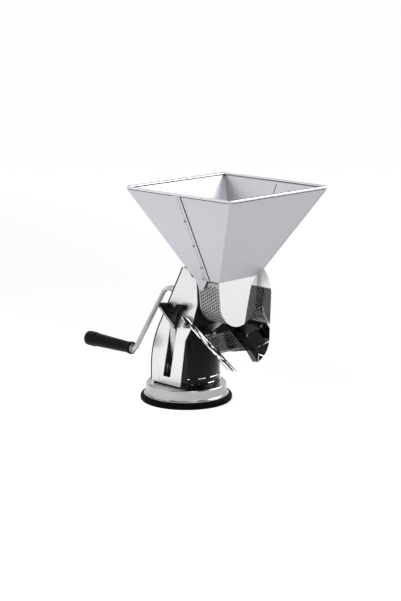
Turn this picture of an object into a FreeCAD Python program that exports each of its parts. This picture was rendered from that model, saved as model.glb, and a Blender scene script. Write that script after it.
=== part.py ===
import FreeCAD, Part

import math
import os
from types import SimpleNamespace

import Sketcher

# Hand-cranked tomato strainer on a suction foot. Millimetres. The origin is the centre of the foot's
# underside, +Z is up, +Y is the crank's side and the hopper, screen and chute stand out towards -Y.

DIMENSIONS = {
    # suction foot and base
    "foot_radius": 68.0,
    "foot_height": 9.0,
    "foot_bevel": 2.0,
    "foot_bore": 54.5,
    "ring_radius": 59.4,
    "ring_height": 17.0,
    "ring_wall": 1.5,
    "ring_lip_radius": 65.5,
    "ring_lip": 2.0,
    "ring_land_bore": 52.5,
    "ring_land": 1.2,
    "ring_bead": 2.8,
    "ring_bead_height": 0.8,
    "deck_thickness": 4.0,
    "deck_skirt": 3.0,
    "diaphragm_radius": 53.5,
    "diaphragm_thickness": 3.0,
    "diaphragm_lift_off": 0.0,
    "diaphragm_hub_radius": 12.0,
    "diaphragm_hub_height": 8.0,
    # tower
    "tower_width": 72.0,
    "panel_thickness": 1.5,
    "panel_gap": 3.5,
    "panel_front": -22.9,
    "panel_waist_front": -33.3,
    "panel_waist_drop": 62.9,
    "panel_shoulder_front": -45.5,
    "panel_shoulder_drop": 42.5,
    "panel_brow_drop": 5.5,
    "panel_setback": 1.2,
    "tower_back": 36.7,
    "tower_knee": 45.0,
    "tower_back_radius": 150.0,
    "tower_lean": 28.0,
    "tower_back_bulge": 1.2,
    "tower_lip": 3.0,
    "frame_height": 10.0,
    "frame_wall": 3.0,
    "frame_front": -18.0,
    "cover_radius": 50.0,
    "cover_wall": 2.2,
    "cover_drop": 44.5,
    "cover_seat": 0.2,
    "hood_chin": -47.0,
    "hood_face": -59.0,
    "hood_ledge": 10.0,
    "hood_bush_out": 2.0,
    "hood_crown_front": -40.0,
    "hood_crown_rise": 42.5,
    "hood_back": -33.0,
    # lever slot, as seen from the side
    "slot_width": 14.5,
    "slot_lean": 11.0,
    "slot_bottom": 38.5,
    "slot_top_drop": 23.5,
    "slot_foot_y": 5.1,
    # trough and screen
    "axis_height": 161.5,
    "screen_radius": 33.5,
    "screen_sheet": 1.0,
    "screen_flare": 37.2,
    "screen_top_drop": 2.0,
    "hole_radius": 1.3,
    "hole_rows": 8.0,
    "hole_columns": 15.0,
    "hole_span": 150.0,
    "flange_width": 1.0,
    "flange_thickness": 1.5,
    "front_plate_thickness": 1.4,
    "front_plate_margin": 1.3,
    "trough_length": 45.0,
    "trough_rise": 32.8,
    # rotor and crank
    "shaft_radius": 5.0,
    "shaft_tail": 30.0,
    "shaft_end_gap": 1.0,
    "socket_depth": 22.0,
    "bush_wall": 3.0,
    "front_bush_length": 5.0,
    "hood_bush_length": 11.0,
    "rear_bush_length": 14.0,
    "rear_bush_out": 8.0,
    "running_fit": 0.05,
    "end_play": 0.5,
    "hub_radius": 10.0,
    "paddle_root": 9.0,
    "paddle_tip": 28.5,
    "paddle_thickness": 3.0,
    "paddle_turn": 20.0,
    "paddle_step": 120.0,
    "wiper_grip": 3.0,
    "wiper_thickness": 6.0,
    "wiper_gap": 0.4,
    "crank_throw": 104.0,
    "crank_angle": 37.5,
    "crank_plane": 42.0,
    "rod_radius": 3.5,
    "elbow_radius": 9.0,
    "knuckle_radius": 5.0,
    "grip_start": 48.0,
    "grip_length": 94.5,
    "grip_neck_radius": 8.3,
    "grip_radius": 11.0,
    "grip_collar": 5.0,
    "grip_collar_radius": 9.3,
    "grip_step": 16.0,
    "grip_ridge": 0.6,
    "grip_ridge_run": 1.2,
    "grip_dome": 3.0,
    "grip_well": 14.0,
    "grip_well_radius": 7.0,
    "grip_nut_radius": 5.5,
    "grip_nut_length": 6.0,
    "washer_radius": 7.0,
    "washer_thickness": 0.8,
    "lock_screw_radius": 2.0,
    "lock_head_radius": 4.5,
    "lock_head_length": 5.0,
    "lock_screw_y": 25.0,
    # suction lever
    "pivot_x": -18.0,
    "pivot_height": 48.0,
    "pivot_radius": 3.0,
    "lever_hub_radius": 7.5,
    "lever_width": 7.0,
    "lever_thickness": 6.0,
    "lever_tilt": 13.5,
    "lever_top_drop": 17.5,
    "cam_radius": 8.5,
    "cam_offset": 3.0,
    "cam_phase": 100.0,
    "cam_width": 4.5,
    "cam_gap": 0.6,
    "ear_gap": 2.0,
    "bracket_wall": 2.0,
    "bracket_depth": 18.0,
    "bracket_rise": 7.0,
    "handle_gap": 1.5,
    "handle_depth": 9.5,
    "wing_top_drop": 9.5,
    "wing_height": 37.5,
    "wing_span": 52.0,
    "wing_shift": 1.0,
    "wing_lean": 4.0,
    "wing_notch": 4.4,
    "wing_notch_width": 5.0,
    "wing_end": 8.0,
    "rear_knee": 18.0,
    "rear_knee_drop": 16.0,
    "front_knee": 15.0,
    "front_knee_drop": 12.5,
    "wing_tip_width": 3.0,
    "wing_tip_shift": 8.0,
    "stud_radius": 4.0,
    "stud_fit": 0.08,
    "yoke_thickness": 3.0,
    "yoke_side": 3.0,
    "yoke_notch_gap": 2.6,
    "yoke_front": 8.0,
    "stud_nut_radius": 6.5,
    "stud_nut_height": 5.0,
    # hopper
    "hopper_rim": 200.0,
    "hopper_width": 81.0,
    "hopper_depth": 47.9,
    "hopper_rise": 127.0,
    "hopper_centre": -81.45,
    "hopper_sheet": 1.1,
    "hopper_seam": -87.5,
    "hopper_lap": 12.0,
    "rim_wire_radius": 2.0,
    "rim_corner": 4.5,
    "tab_length": 15.0,
    "tab_width": 24.0,
    "tab_tip": 7.0,
    "tab_sheet": 1.7,
    "collar_drop": 9.0,
    "collar_gap": 0.8,
    "rivet_radius": 1.8,
    "rivet_head": 0.8,
    "rivet_low": 0.16,
    "rivet_middle": 0.42,
    "rivet_high": 0.71,
    # chute
    "chute_slope": 37.0,
    "chute_lip_y": -114.0,
    "chute_lip_drop": 92.3,
    "chute_lip_width": 60.0,
    "chute_lean": 8.5,
    "chute_sheet": 1.0,
    "chute_bite": 0.9,
    "chute_wall_height": 10.5,
    "chute_head_y": -48.0,
    "ear_y": -31.0,
    "ear_rise": 66.3,
    "ear_radius": 5.5,
    "chute_overhang": 16.0,
    "hook_y": -37.2,
    "hook_drop": 3.4,
    "hook_radius": 2.5,
    "hook_clearance": 0.15,
    "hook_length": 9.0,
    "guard_top_rise": 134.8,
    "guard_top_y": -105.0,
    "guard_brow_y": -125.5,
    "guard_brow_rise": 103.8,
    "guard_front_y": -131.5,
    "guard_front_rise": 38.8,
    "guard_back_y": -64.0,
    "guard_back_rise": 120.8,
    "guard_brow_radius": 60.0,
    "guard_chin_radius": 42.0,
    # small fasteners
    "screw_head_radius": 4.0,
    "screw_head": 1.4,
}

doc = FreeCAD.newDocument("TomatoStrainer")
sheet = doc.addObject("Spreadsheet::Sheet", "Sizes")
finished = []


class Size:
    """A number together with the sheet formula that gives it."""

    def __init__(self, value, text):
        self.value = value
        self.text = text

    def __add__(self, other):
        return join(self, "+", other, lambda a, b: a + b)

    def __radd__(self, other):
        return join(other, "+", self, lambda a, b: a + b)

    def __sub__(self, other):
        return join(self, "-", other, lambda a, b: a - b)

    def __rsub__(self, other):
        return join(other, "-", self, lambda a, b: a - b)

    def __mul__(self, other):
        return join(self, "*", other, lambda a, b: a * b)

    def __rmul__(self, other):
        return join(other, "*", self, lambda a, b: a * b)

    def __truediv__(self, other):
        return join(self, "/", other, lambda a, b: a / b)

    def __neg__(self):
        return Size(-self.value, f"(0 - {self.text})")


def as_size(item):
    """A plain number written as a size of its own."""
    return item if isinstance(item, Size) else Size(float(item), f"({float(item)})")


def join(left, sign, right, work):
    """Two sizes joined by an arithmetic sign."""
    left, right = as_size(left), as_size(right)
    return Size(work(left.value, right.value), f"({left.text} {sign} {right.text})")


def sine(angle):
    return Size(math.sin(math.radians(angle.value)), f"sin({angle.text} * 1 deg)")


def cosine(angle):
    return Size(math.cos(math.radians(angle.value)), f"cos({angle.text} * 1 deg)")


def tangent(angle):
    return Size(math.tan(math.radians(angle.value)), f"tan({angle.text} * 1 deg)")


def root(square):
    return Size(math.sqrt(square.value), f"sqrt({square.text})")


def leg(hypotenuse, other):
    """The third side of a right triangle."""
    return root(hypotenuse * hypotenuse - other * other)


def fill_sheet():
    """Writes the driving dimensions and gives each an alias."""
    for row, (alias, value) in enumerate(DIMENSIONS.items(), start=1):
        sheet.set(f"A{row}", alias)
        sheet.set(f"B{row}", str(value))
        sheet.setAlias(f"B{row}", alias)
    doc.recompute()
    return SimpleNamespace(**{alias: Size(value, f"Sizes.{alias}") for alias, value in DIMENSIONS.items()})


def bind(thing, **properties):
    """Ties properties to sheet formulas; a double underscore stands for a dot."""
    for name, size in properties.items():
        thing.setExpression(name.replace("__", "."), as_size(size).text)


def place(thing, x=0, y=0, z=0, axis=None, angle=0):
    """Puts a sub-part at a point, turned about one axis."""
    point = [as_size(item) for item in (x, y, z)]
    turn = as_size(angle)
    spin = FreeCAD.Rotation(FreeCAD.Vector(*(axis or (0, 0, 1))), turn.value)
    thing.Placement = FreeCAD.Placement(FreeCAD.Vector(*(item.value for item in point)), spin)
    for letter, item in zip("xyz", point):
        thing.setExpression(f".Placement.Base.{letter}", item.text)
    if axis:
        thing.setExpression(".Placement.Rotation.Angle", turn.text)
    return thing


def finish(thing, label):
    """Marks an object as a finished sub-part with its label."""
    thing.Label = label
    finished.append(thing)
    return thing


# ---------------------------------------------------------------- sketches and solids

def new_body(label):
    return finish(doc.addObject("PartDesign::Body", label), label)


def new_sketch(body, plane, offset=0):
    """An empty sketch on one of the body's own planes, moved along the plane's normal."""
    sketch = body.newObject("Sketcher::SketchObject", f"{body.Label}_sketch")
    face = next(item for item in body.Origin.OriginFeatures if item.Role == plane)
    sketch.AttachmentSupport = [(face, "")]
    sketch.MapMode = "FlatFace"
    shift = as_size(offset)
    sketch.AttachmentOffset = FreeCAD.Placement(FreeCAD.Vector(0, 0, shift.value), FreeCAD.Rotation())
    sketch.setExpression(".AttachmentOffset.Base.z", shift.text)
    return sketch


def arc_between(start, end, radius):
    """The short arc from start to end; a positive radius turns left."""
    chord = end.sub(start)
    reach = math.sqrt(max(radius * radius - chord.Length ** 2 / 4, 0.0))
    side = FreeCAD.Vector(-chord.y, chord.x, 0).normalize()
    centre = start.add(chord.multiply(0.5)).add(side.multiply(math.copysign(reach, radius)))
    first, last = (start, end) if radius > 0 else (end, start)
    spread = [math.atan2(point.y - centre.y, point.x - centre.x) for point in (first, last)]
    circle = Part.Circle(centre, FreeCAD.Vector(0, 0, 1), abs(radius))
    return Part.ArcOfCircle(circle, *spread)


def pin_point(sketch, index, end, corner):
    """Fixes one end of a sketch edge at a corner given by two sizes."""
    for kind, size in zip(("DistanceX", "DistanceY"), corner):
        number = sketch.addConstraint(Sketcher.Constraint(kind, -1, 1, index, end, size.value))
        sketch.setExpression(f"Constraints[{number}]", size.text)


def trace(sketch, corners, closed=True):
    """Draws lines and arcs through the corners; a corner's third item is the radius of its next arc."""
    sizes = [(as_size(corner[0]), as_size(corner[1])) for corner in corners]
    bends = [as_size(corner[2]) if len(corner) > 2 else None for corner in corners]
    spots = [FreeCAD.Vector(u.value, v.value, 0) for u, v in sizes]
    count = len(corners) if closed else len(corners) - 1
    heads, tails = [], []
    for step in range(count):
        start, end = FreeCAD.Vector(spots[step]), FreeCAD.Vector(spots[(step + 1) % len(spots)])
        bend = bends[step]
        shape = arc_between(start, end, bend.value) if bend else Part.LineSegment(start, end)
        index = sketch.addGeometry(shape, False)
        forward = bend is None or bend.value > 0
        heads.append((index, 1 if forward else 2))
        tails.append((index, 2 if forward else 1))
        if bend:
            number = sketch.addConstraint(Sketcher.Constraint("Radius", index, abs(bend.value)))
            sketch.setExpression(f"Constraints[{number}]", bend.text if forward else (-bend).text)
    for step in range(count):
        pin_point(sketch, *heads[step], sizes[step])
        if closed or step + 1 < count:
            follower = heads[(step + 1) % count]
            sketch.addConstraint(Sketcher.Constraint("Coincident", *tails[step], *follower))
    if not closed:
        pin_point(sketch, *tails[-1], sizes[-1])
    return sketch


def ring_in(sketch, u, v, radius):
    """A full circle at a point given by two sizes."""
    u, v, radius = as_size(u), as_size(v), as_size(radius)
    circle = Part.Circle(FreeCAD.Vector(u.value, v.value, 0), FreeCAD.Vector(0, 0, 1), radius.value)
    index = sketch.addGeometry(circle, False)
    number = sketch.addConstraint(Sketcher.Constraint("Radius", index, radius.value))
    sketch.setExpression(f"Constraints[{number}]", radius.text)
    pin_point(sketch, index, 3, (u, v))
    return sketch


def add_feature(body, kind, sketch, **properties):
    feature = body.newObject(f"PartDesign::{kind}", f"{body.Label}_{kind.lower()}")
    feature.Profile = sketch
    bind(feature, **properties)
    return feature


def pad(body, sketch, length, midplane=False, backwards=False):
    feature = add_feature(body, "Pad", sketch, Length=length)
    if midplane:
        feature.SideType = "Symmetric"
    feature.Reversed = backwards
    return feature


def pocket_through(body, sketch, length):
    """Cuts a sketch out to both sides of its plane."""
    feature = add_feature(body, "Pocket", sketch, Length=length)
    feature.SideType = "Symmetric"
    return feature


def revolve(body, sketch, axis="V_Axis", angle=360):
    feature = add_feature(body, "Revolution", sketch, Angle=angle)
    feature.ReferenceAxis = (sketch, [axis])
    return feature


def turned(label, corners, axis_place=None):
    """A body turned about its own Z axis from a half outline of radius and height."""
    body = new_body(label)
    revolve(body, trace(new_sketch(body, "XZ_Plane"), corners))
    if axis_place:
        place(body, **axis_place)
    return body


def rod(name, radius, length, **where):
    """A plain cylinder that is not a sub-part by itself."""
    thing = doc.addObject("Part::Cylinder", name)
    bind(thing, Radius=radius, Height=length)
    return place(thing, **where)


def block(name, length, width, height, **where):
    thing = doc.addObject("Part::Box", name)
    bind(thing, Length=length, Width=width, Height=height)
    return place(thing, **where)


def cut(name, base, tool):
    thing = doc.addObject("Part::Cut", name)
    thing.Base = base
    thing.Tool = tool
    return thing


def group(name, pieces):
    """Several objects as one, joined where they touch."""
    thing = doc.addObject("Part::MultiFuse", name)
    thing.Shapes = pieces
    return thing


def common(name, pieces):
    thing = doc.addObject("Part::MultiCommon", name)
    thing.Shapes = pieces
    return thing


ALONG_Y = {"axis": (1, 0, 0), "angle": -90}
ALONG_X = {"axis": (0, 1, 0), "angle": 90}


def tube(label, outer, inner, length, **where):
    """A bush or a collar: a cylinder with a bore."""
    wall = rod(f"{label}_wall", outer, length, **where)
    bore = rod(f"{label}_bore", inner, length, **where)
    return finish(cut(label, wall, bore), label)


d = fill_sheet()

# ---------------------------------------------------------------- shared places

half_width = d.tower_width / 2
panel_inner = half_width - d.panel_thickness
base_top = d.foot_height + d.ring_height
deck_top = base_top - d.ring_bead_height - d.ring_land
deck_bottom = deck_top - d.deck_thickness
panel_bottom = deck_top + d.panel_gap
panel_waist = d.axis_height - d.panel_waist_drop
panel_shoulder = d.axis_height - d.panel_shoulder_drop
panel_brow = d.axis_height - d.panel_brow_drop
cover_top = d.axis_height - d.cover_drop
slot_top = d.axis_height - d.slot_top_drop
wing_top = d.axis_height - d.wing_top_drop
wing_tip = wing_top - d.wing_height
lever_reach = d.axis_height - d.lever_top_drop - d.pivot_height
hood_crown = d.axis_height + d.hood_crown_rise
tower_top = hood_crown + d.tower_lip
chute_lip = d.axis_height - d.chute_lip_drop
back_bend_y = d.tower_back - d.tower_back_radius * (1 - cosine(d.tower_lean))
back_bend_z = d.tower_knee + d.tower_back_radius * sine(d.tower_lean)
trough_front = d.hood_face - d.trough_length
front_face = trough_front - d.front_plate_thickness
screen_outer = d.screen_radius + d.screen_sheet
plate_radius = screen_outer + d.front_plate_margin
bush_outer = d.shaft_radius + d.bush_wall
bush_bore = d.shaft_radius + d.running_fit
hub_front = trough_front + d.front_bush_length + d.end_play
hub_back = d.hood_face - d.hood_bush_out - d.end_play
hub_length = hub_back - hub_front
lever_y = d.slot_foot_y - (d.pivot_height - d.slot_bottom) * tangent(d.slot_lean)
crank_x = -(d.crank_throw * sine(d.crank_angle))
crank_z = d.axis_height - d.crank_throw * cosine(d.crank_angle)
hopper_bottom = d.axis_height + d.trough_rise
hopper_top = hopper_bottom + d.hopper_rise


def back_y(height):
    """The rear edge of the side panels at a height on their straight upper stretch."""
    return back_bend_y - (height - back_bend_z) * tangent(d.tower_lean)


def slot_y(height):
    """The middle of the lever slot at a height."""
    return d.slot_foot_y - (height - d.slot_bottom) * tangent(d.slot_lean)


def chute_z(y):
    """The underside of the chute floor at a distance from the tower's axis."""
    return chute_lip + (y - d.chute_lip_y) * tangent(d.chute_slope)


# ---------------------------------------------------------------- suction foot and base

def build_foot_ring():
    """Black rubber foot with a bevelled edge; its underside rests on the table."""
    turned("foot_ring", [
        (d.foot_bore, 0),
        (d.foot_radius - d.foot_bevel, 0),
        (d.foot_radius, d.foot_bevel),
        (d.foot_radius, d.foot_height - d.foot_bevel),
        (d.foot_radius - d.foot_bevel, d.foot_height),
        (d.foot_bore, d.foot_height),
    ])


def build_base_ring():
    """Chromed ring with a flared lip below and a beaded land above."""
    inner = d.ring_radius - d.ring_wall
    lip_top = d.foot_height + d.ring_lip
    land_top = deck_top + d.ring_land
    turned("base_ring", [
        (inner, d.foot_height),
        (d.ring_lip_radius, d.foot_height),
        (d.ring_lip_radius, lip_top),
        (d.ring_radius, lip_top + d.ring_wall),
        (d.ring_radius, base_top),
        (d.ring_radius - d.ring_bead, base_top),
        (d.ring_radius - d.ring_bead, land_top),
        (d.ring_land_bore, land_top),
        (d.ring_land_bore, deck_top),
        (inner, deck_top),
    ])


def build_base_deck():
    """Cast deck inside the ring: it stands on the foot and carries the tower and the lever bracket."""
    outer = d.ring_radius - d.ring_wall
    bore = d.stud_radius + d.stud_fit
    turned("base_deck", [
        (bore, deck_bottom),
        (outer - d.deck_skirt, deck_bottom),
        (outer - d.deck_skirt, d.foot_height),
        (outer, d.foot_height),
        (outer, deck_top),
        (bore, deck_top),
    ])


def build_diaphragm():
    """Rubber suction disc with a moulded hub that holds the stud."""
    low = d.diaphragm_lift_off
    disc_top = low + d.diaphragm_thickness
    turned("suction_diaphragm", [
        (0, low),
        (d.diaphragm_radius, low),
        (d.diaphragm_radius, disc_top),
        (d.diaphragm_hub_radius, disc_top),
        (d.diaphragm_hub_radius, disc_top + d.diaphragm_hub_height),
        (d.stud_radius, disc_top + d.diaphragm_hub_height),
        (d.stud_radius, disc_top),
        (0, disc_top),
    ])


# ---------------------------------------------------------------- tower

def panel_outline():
    """Side view of a tower panel, from its front foot round to its curved back."""
    face = d.hood_face + d.panel_setback
    return [
        (d.panel_front, panel_bottom),
        (d.tower_back, panel_bottom),
        (d.tower_back, d.tower_knee, d.tower_back_radius),
        (back_bend_y, back_bend_z),
        (back_y(tower_top), tower_top),
        (d.hood_crown_front, hood_crown),
        (face + d.hood_ledge, hopper_bottom),
        (face, hopper_bottom),
        (face, panel_brow),
        (d.panel_shoulder_front, panel_shoulder),
        (d.panel_waist_front, panel_waist),
    ]


def slot_outline():
    """Leaning lever slot, its sides parallel to the lean."""
    half = d.slot_width / 2
    low, high = slot_y(d.slot_bottom), slot_y(slot_top)
    return [
        (low - half, d.slot_bottom),
        (low + half, d.slot_bottom),
        (high + half, slot_top),
        (high - half, slot_top),
    ]


def build_side_panel(label, inner_face, slotted):
    """Chromed steel side panel; the left one has the lever slot."""
    body = new_body(label)
    pad(body, trace(new_sketch(body, "YZ_Plane", inner_face), panel_outline()), d.panel_thickness)
    if slotted:
        pocket_through(body, trace(new_sketch(body, "YZ_Plane", inner_face), slot_outline()), d.tower_width)


def bulge_radius(half, rise):
    """Radius of an arc from half its chord and its rise."""
    return (half * half + rise * rise) / (2 * rise)


def sweep(body, section, path):
    """Carries a section along every edge of a path."""
    doc.recompute()
    pipe = body.newObject("PartDesign::AdditivePipe", f"{body.Label}_sweep")
    pipe.Profile = section
    pipe.Spine = (path, [f"Edge{number + 1}" for number in range(path.GeometryCount)])
    return pipe


def build_back_cover():
    """Chromed back skin: a slightly bowed strip between the panels, up their rear edges."""
    body = new_body("back_cover")
    track = d.tower_back
    bow = bulge_radius(panel_inner, d.tower_back_bulge)
    section = trace(new_sketch(body, "XY_Plane", panel_bottom), [
        (panel_inner, track, bow),
        (-panel_inner, track),
        (-panel_inner, track - d.panel_thickness, -bow),
        (panel_inner, track - d.panel_thickness),
    ])
    path = trace(new_sketch(body, "YZ_Plane"), [
        (track, panel_bottom),
        (track, d.tower_knee, d.tower_back_radius),
        (back_bend_y, back_bend_z),
        (back_y(tower_top), tower_top),
    ], closed=False)
    sweep(body, section, path)
    doc.recompute()
    hole = ring_in(new_sketch(body, "XZ_Plane"), 0, d.axis_height, bush_outer)
    pocket_through(body, hole, track * 2)


def build_tower_frame():
    """Black frame on the deck, between the panels: it shows as the dark gap under them."""
    body = new_body("tower_frame")
    slim = panel_inner - d.cover_wall
    back = d.tower_back - d.frame_wall
    step = d.frame_front
    nose = -leg(d.cover_radius - d.cover_wall, slim)
    wall = d.frame_wall
    pad(body, trace(new_sketch(body, "XY_Plane", deck_top), [
        (-slim, nose),
        (slim, nose),
        (slim, step),
        (panel_inner, step),
        (panel_inner, back),
        (-panel_inner, back),
        (-panel_inner, step),
        (-slim, step),
    ]), d.frame_height)
    hollow = trace(new_sketch(body, "XY_Plane", deck_top), [
        (-slim + wall, nose + wall),
        (slim - wall, nose + wall),
        (slim - wall, back - wall),
        (-slim + wall, back - wall),
    ])
    pocket_through(body, hollow, d.frame_height * 3)


def build_front_cover():
    """Black moulded front of the lower tower: a bowed wall with two short sides."""
    body = new_body("front_cover")
    slim = panel_inner - d.cover_wall
    inner_radius = d.cover_radius - d.cover_wall
    shoulder = -leg(d.cover_radius, panel_inner)
    inner_shoulder = -leg(inner_radius, slim)
    foot = deck_top + d.cover_seat
    pad(body, trace(new_sketch(body, "XY_Plane", foot), [
        (panel_inner, d.frame_front),
        (slim, d.frame_front),
        (slim, inner_shoulder, -inner_radius),
        (-slim, inner_shoulder),
        (-slim, d.frame_front),
        (-panel_inner, d.frame_front),
        (-panel_inner, shoulder, d.cover_radius),
        (panel_inner, shoulder),
    ]), cover_top - foot)


def build_hood():
    """Black head of the tower: its front face closes the trough and carries a shaft bush."""
    body = new_body("tower_hood")
    wall = d.cover_wall
    foot = cover_top
    pad(body, trace(new_sketch(body, "YZ_Plane"), [
        (d.hood_chin, foot),
        (d.hood_back, foot),
        (d.hood_back, hood_crown),
        (d.hood_crown_front, hood_crown),
        (d.hood_face + d.hood_ledge, hopper_bottom),
        (d.hood_face, hopper_bottom),
        (d.hood_face, panel_brow),
    ]), panel_inner * 2, midplane=True)
    hollow = trace(new_sketch(body, "YZ_Plane"), [
        (d.hood_chin + wall, foot - wall),
        (d.hood_back + wall, foot - wall),
        (d.hood_back + wall, hood_crown - wall),
        (d.hood_crown_front, hood_crown - wall),
        (d.hood_face + d.hood_ledge, hopper_bottom - wall),
        (d.hood_face + wall, hopper_bottom - wall),
        (d.hood_face + wall, panel_brow),
    ])
    pocket_through(body, hollow, (panel_inner - wall) * 2)
    doc.recompute()
    bore = ring_in(new_sketch(body, "XZ_Plane", -d.hood_face), 0, d.axis_height, bush_outer)
    pocket_through(body, bore, wall * 4)


# ---------------------------------------------------------------- trough

def trough_outline(radius, flare, top):
    """U outline: a half round about the shaft with sides that open out to the top."""
    return [
        (-radius, d.axis_height, radius),
        (0, d.axis_height - radius, radius),
        (radius, d.axis_height),
        (flare, top),
        (-flare, top),
    ]


def screen_sheet_outline():
    """Closed outline of the bent screen sheet, outside then back along the inside."""
    top = hopper_bottom - d.screen_top_drop
    outer, inner = screen_outer, d.screen_radius
    return [
        (-d.screen_flare - d.screen_sheet, top),
        (-outer, d.axis_height, outer),
        (0, d.axis_height - outer, outer),
        (outer, d.axis_height),
        (d.screen_flare + d.screen_sheet, top),
        (d.screen_flare, top),
        (inner, d.axis_height, -inner),
        (0, d.axis_height - inner, -inner),
        (-inner, d.axis_height),
        (-d.screen_flare, top),
    ]


def screen_holes():
    """Radial juice holes in even rows round the bottom of the screen."""
    rows, columns = int(d.hole_rows.value), int(d.hole_columns.value)
    pitch = d.trough_length / (d.hole_rows + 1)
    step = d.hole_span / (d.hole_columns - 1)
    holes = []
    for row in range(rows):
        for column in range(columns):
            lean = (-d.hole_span / 2) + step * column
            holes.append(rod(
                "screen_hole", d.hole_radius, screen_outer * 1.1,
                y=d.hood_face - pitch * (row + 1), z=d.axis_height,
                axis=(0, 1, 0), angle=lean + 180))
    return holes


def build_screen():
    """Perforated steel screen bent to the trough's U."""
    body = doc.addObject("PartDesign::Body", "screen_blank")
    body.Label = "screen_blank"
    sketch = trace(new_sketch(body, "XZ_Plane", -d.hood_face), screen_sheet_outline())
    pad(body, sketch, d.trough_length)
    holes = group("screen_holes", screen_holes())
    finish(cut("perforated_screen", body, holes), "perforated_screen")


def build_screen_flange():
    """U flange that holds the screen to the hood."""
    body = new_body("screen_flange")
    top = hopper_bottom - d.screen_top_drop
    outer = screen_outer + d.flange_width
    spread = d.screen_flare + d.screen_sheet
    sketch = trace(new_sketch(body, "XZ_Plane", -d.hood_face), [
        (-spread - d.flange_width, top),
        (-outer, d.axis_height, outer),
        (0, d.axis_height - outer, outer),
        (outer, d.axis_height),
        (spread + d.flange_width, top),
        (spread, top),
        (screen_outer, d.axis_height, -screen_outer),
        (0, d.axis_height - screen_outer, -screen_outer),
        (-screen_outer, d.axis_height),
        (-spread, top),
    ])
    pad(body, sketch, d.flange_thickness)


def build_front_plate():
    """Polished U plate that closes the front of the trough."""
    body = new_body("front_plate")
    flare = d.screen_flare + d.screen_sheet + d.front_plate_margin
    outline = trough_outline(plate_radius, flare, hopper_bottom)
    pad(body, trace(new_sketch(body, "XZ_Plane", -trough_front), outline), d.front_plate_thickness)


# ---------------------------------------------------------------- rotor and crank

def shaft_place(y):
    return {"y": y, "z": d.axis_height, **ALONG_Y}


def build_bushes():
    """Three plain bearings of the rotor shaft."""
    tube("front_bush", bush_outer, bush_bore, d.front_bush_length, **shaft_place(trough_front))
    tube("hood_bush", bush_outer, bush_bore, d.hood_bush_length,
         **shaft_place(d.hood_face - d.hood_bush_out))
    skin = back_y(d.axis_height) + d.tower_back_bulge / cosine(d.tower_lean)
    rear = skin + d.rear_bush_out - d.rear_bush_length
    tube("rear_bush", bush_outer, bush_bore, d.rear_bush_length, **shaft_place(rear))


def build_shaft():
    """Rotor shaft with a socket for the crank at its rear end."""
    front = trough_front + d.shaft_end_gap
    length = d.shaft_tail - front
    bar = rod("shaft_bar", d.shaft_radius, length, **shaft_place(front))
    socket = rod("shaft_socket", d.rod_radius, d.socket_depth, **shaft_place(d.shaft_tail - d.socket_depth))
    tapping = lock_screw_rod("shaft_tapping")
    finish(cut("rotor_shaft", bar, group("shaft_cuts", [socket, tapping])), "rotor_shaft")


def lock_screw_rod(name):
    """The threaded length of the lock screw, out through the shaft's wall."""
    return rod(name, d.lock_screw_radius, d.shaft_radius,
               y=d.lock_screw_y, z=d.axis_height, **ALONG_X)


def build_lock_screw():
    """Thumb screw that clamps the crank rod in the shaft's socket."""
    head = rod("lock_head", d.lock_head_radius, d.lock_head_length,
               x=d.shaft_radius, y=d.lock_screw_y, z=d.axis_height, **ALONG_X)
    clear = rod("lock_clear", d.rod_radius, d.socket_depth, **shaft_place(d.shaft_tail - d.socket_depth))
    screw = group("lock_screw_solid", [lock_screw_rod("lock_thread"), head])
    finish(cut("lock_screw", screw, clear), "lock_screw")


def paddle_block(name, turn, root_radius, tip_radius, thickness):
    """A radial blade of the rotor, turned about the shaft."""
    angle = as_size(turn)
    reach = tip_radius - root_radius
    half = thickness / 2
    return block(name, thickness, hub_length, reach,
                 x=root_radius * sine(angle) - half * cosine(angle),
                 y=hub_front,
                 z=d.axis_height + root_radius * cosine(angle) + half * sine(angle),
                 axis=(0, 1, 0), angle=angle)


def build_rotor():
    """Hub with three steel paddles, each with a rubber wiper on its tip."""
    blades = []
    for number in range(3):
        label = f"paddle_{number + 1}"
        turn = d.paddle_turn + d.paddle_step * number
        blade = paddle_block(label, turn, d.paddle_root, d.paddle_tip, d.paddle_thickness)
        blades.append(finish(blade, label))
        wiper_tip = d.screen_radius - d.wiper_gap
        strip = paddle_block(f"{label}_strip", turn, d.paddle_tip - d.wiper_grip, wiper_tip,
                             d.wiper_thickness)
        swept = rod(f"{label}_sweep", wiper_tip, hub_length, **shaft_place(hub_front))
        trimmed = common(f"{label}_tip", [strip, swept])
        wiper = f"wiper_{number + 1}"
        finish(cut(wiper, trimmed, blade), wiper)
    wall = rod("hub_wall", d.hub_radius, hub_length, **shaft_place(hub_front))
    bore = rod("hub_bore", d.shaft_radius, hub_length, **shaft_place(hub_front))
    finish(cut("rotor_hub", wall, group("hub_cuts", [bore, *blades])), "rotor_hub")


def build_crank_arm():
    """One bent steel rod: the leg in the shaft, the arm and the spindle of the grip."""
    body = new_body("crank_arm")
    inner = d.shaft_tail - d.socket_depth
    outer = d.grip_start + d.grip_length - d.grip_well + d.grip_nut_length
    arm, throw = d.crank_plane, d.crank_throw
    path = trace(new_sketch(body, "XY_Plane"), [
        (0, inner),
        (0, arm - d.elbow_radius, -d.elbow_radius),
        (d.elbow_radius, arm),
        (throw - d.knuckle_radius, arm, d.knuckle_radius),
        (throw, arm + d.knuckle_radius),
        (throw, outer),
    ], closed=False)
    sweep(body, ring_in(new_sketch(body, "XZ_Plane", -inner), 0, 0, d.rod_radius), path)
    place(body, z=d.axis_height, axis=(0, 1, 0), angle=d.crank_angle + 90)


def grip_place(y=0):
    """The grip's own axis, along +Y from the crank arm."""
    return {"x": crank_x, "y": y, "z": crank_z, **ALONG_Y}


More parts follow.
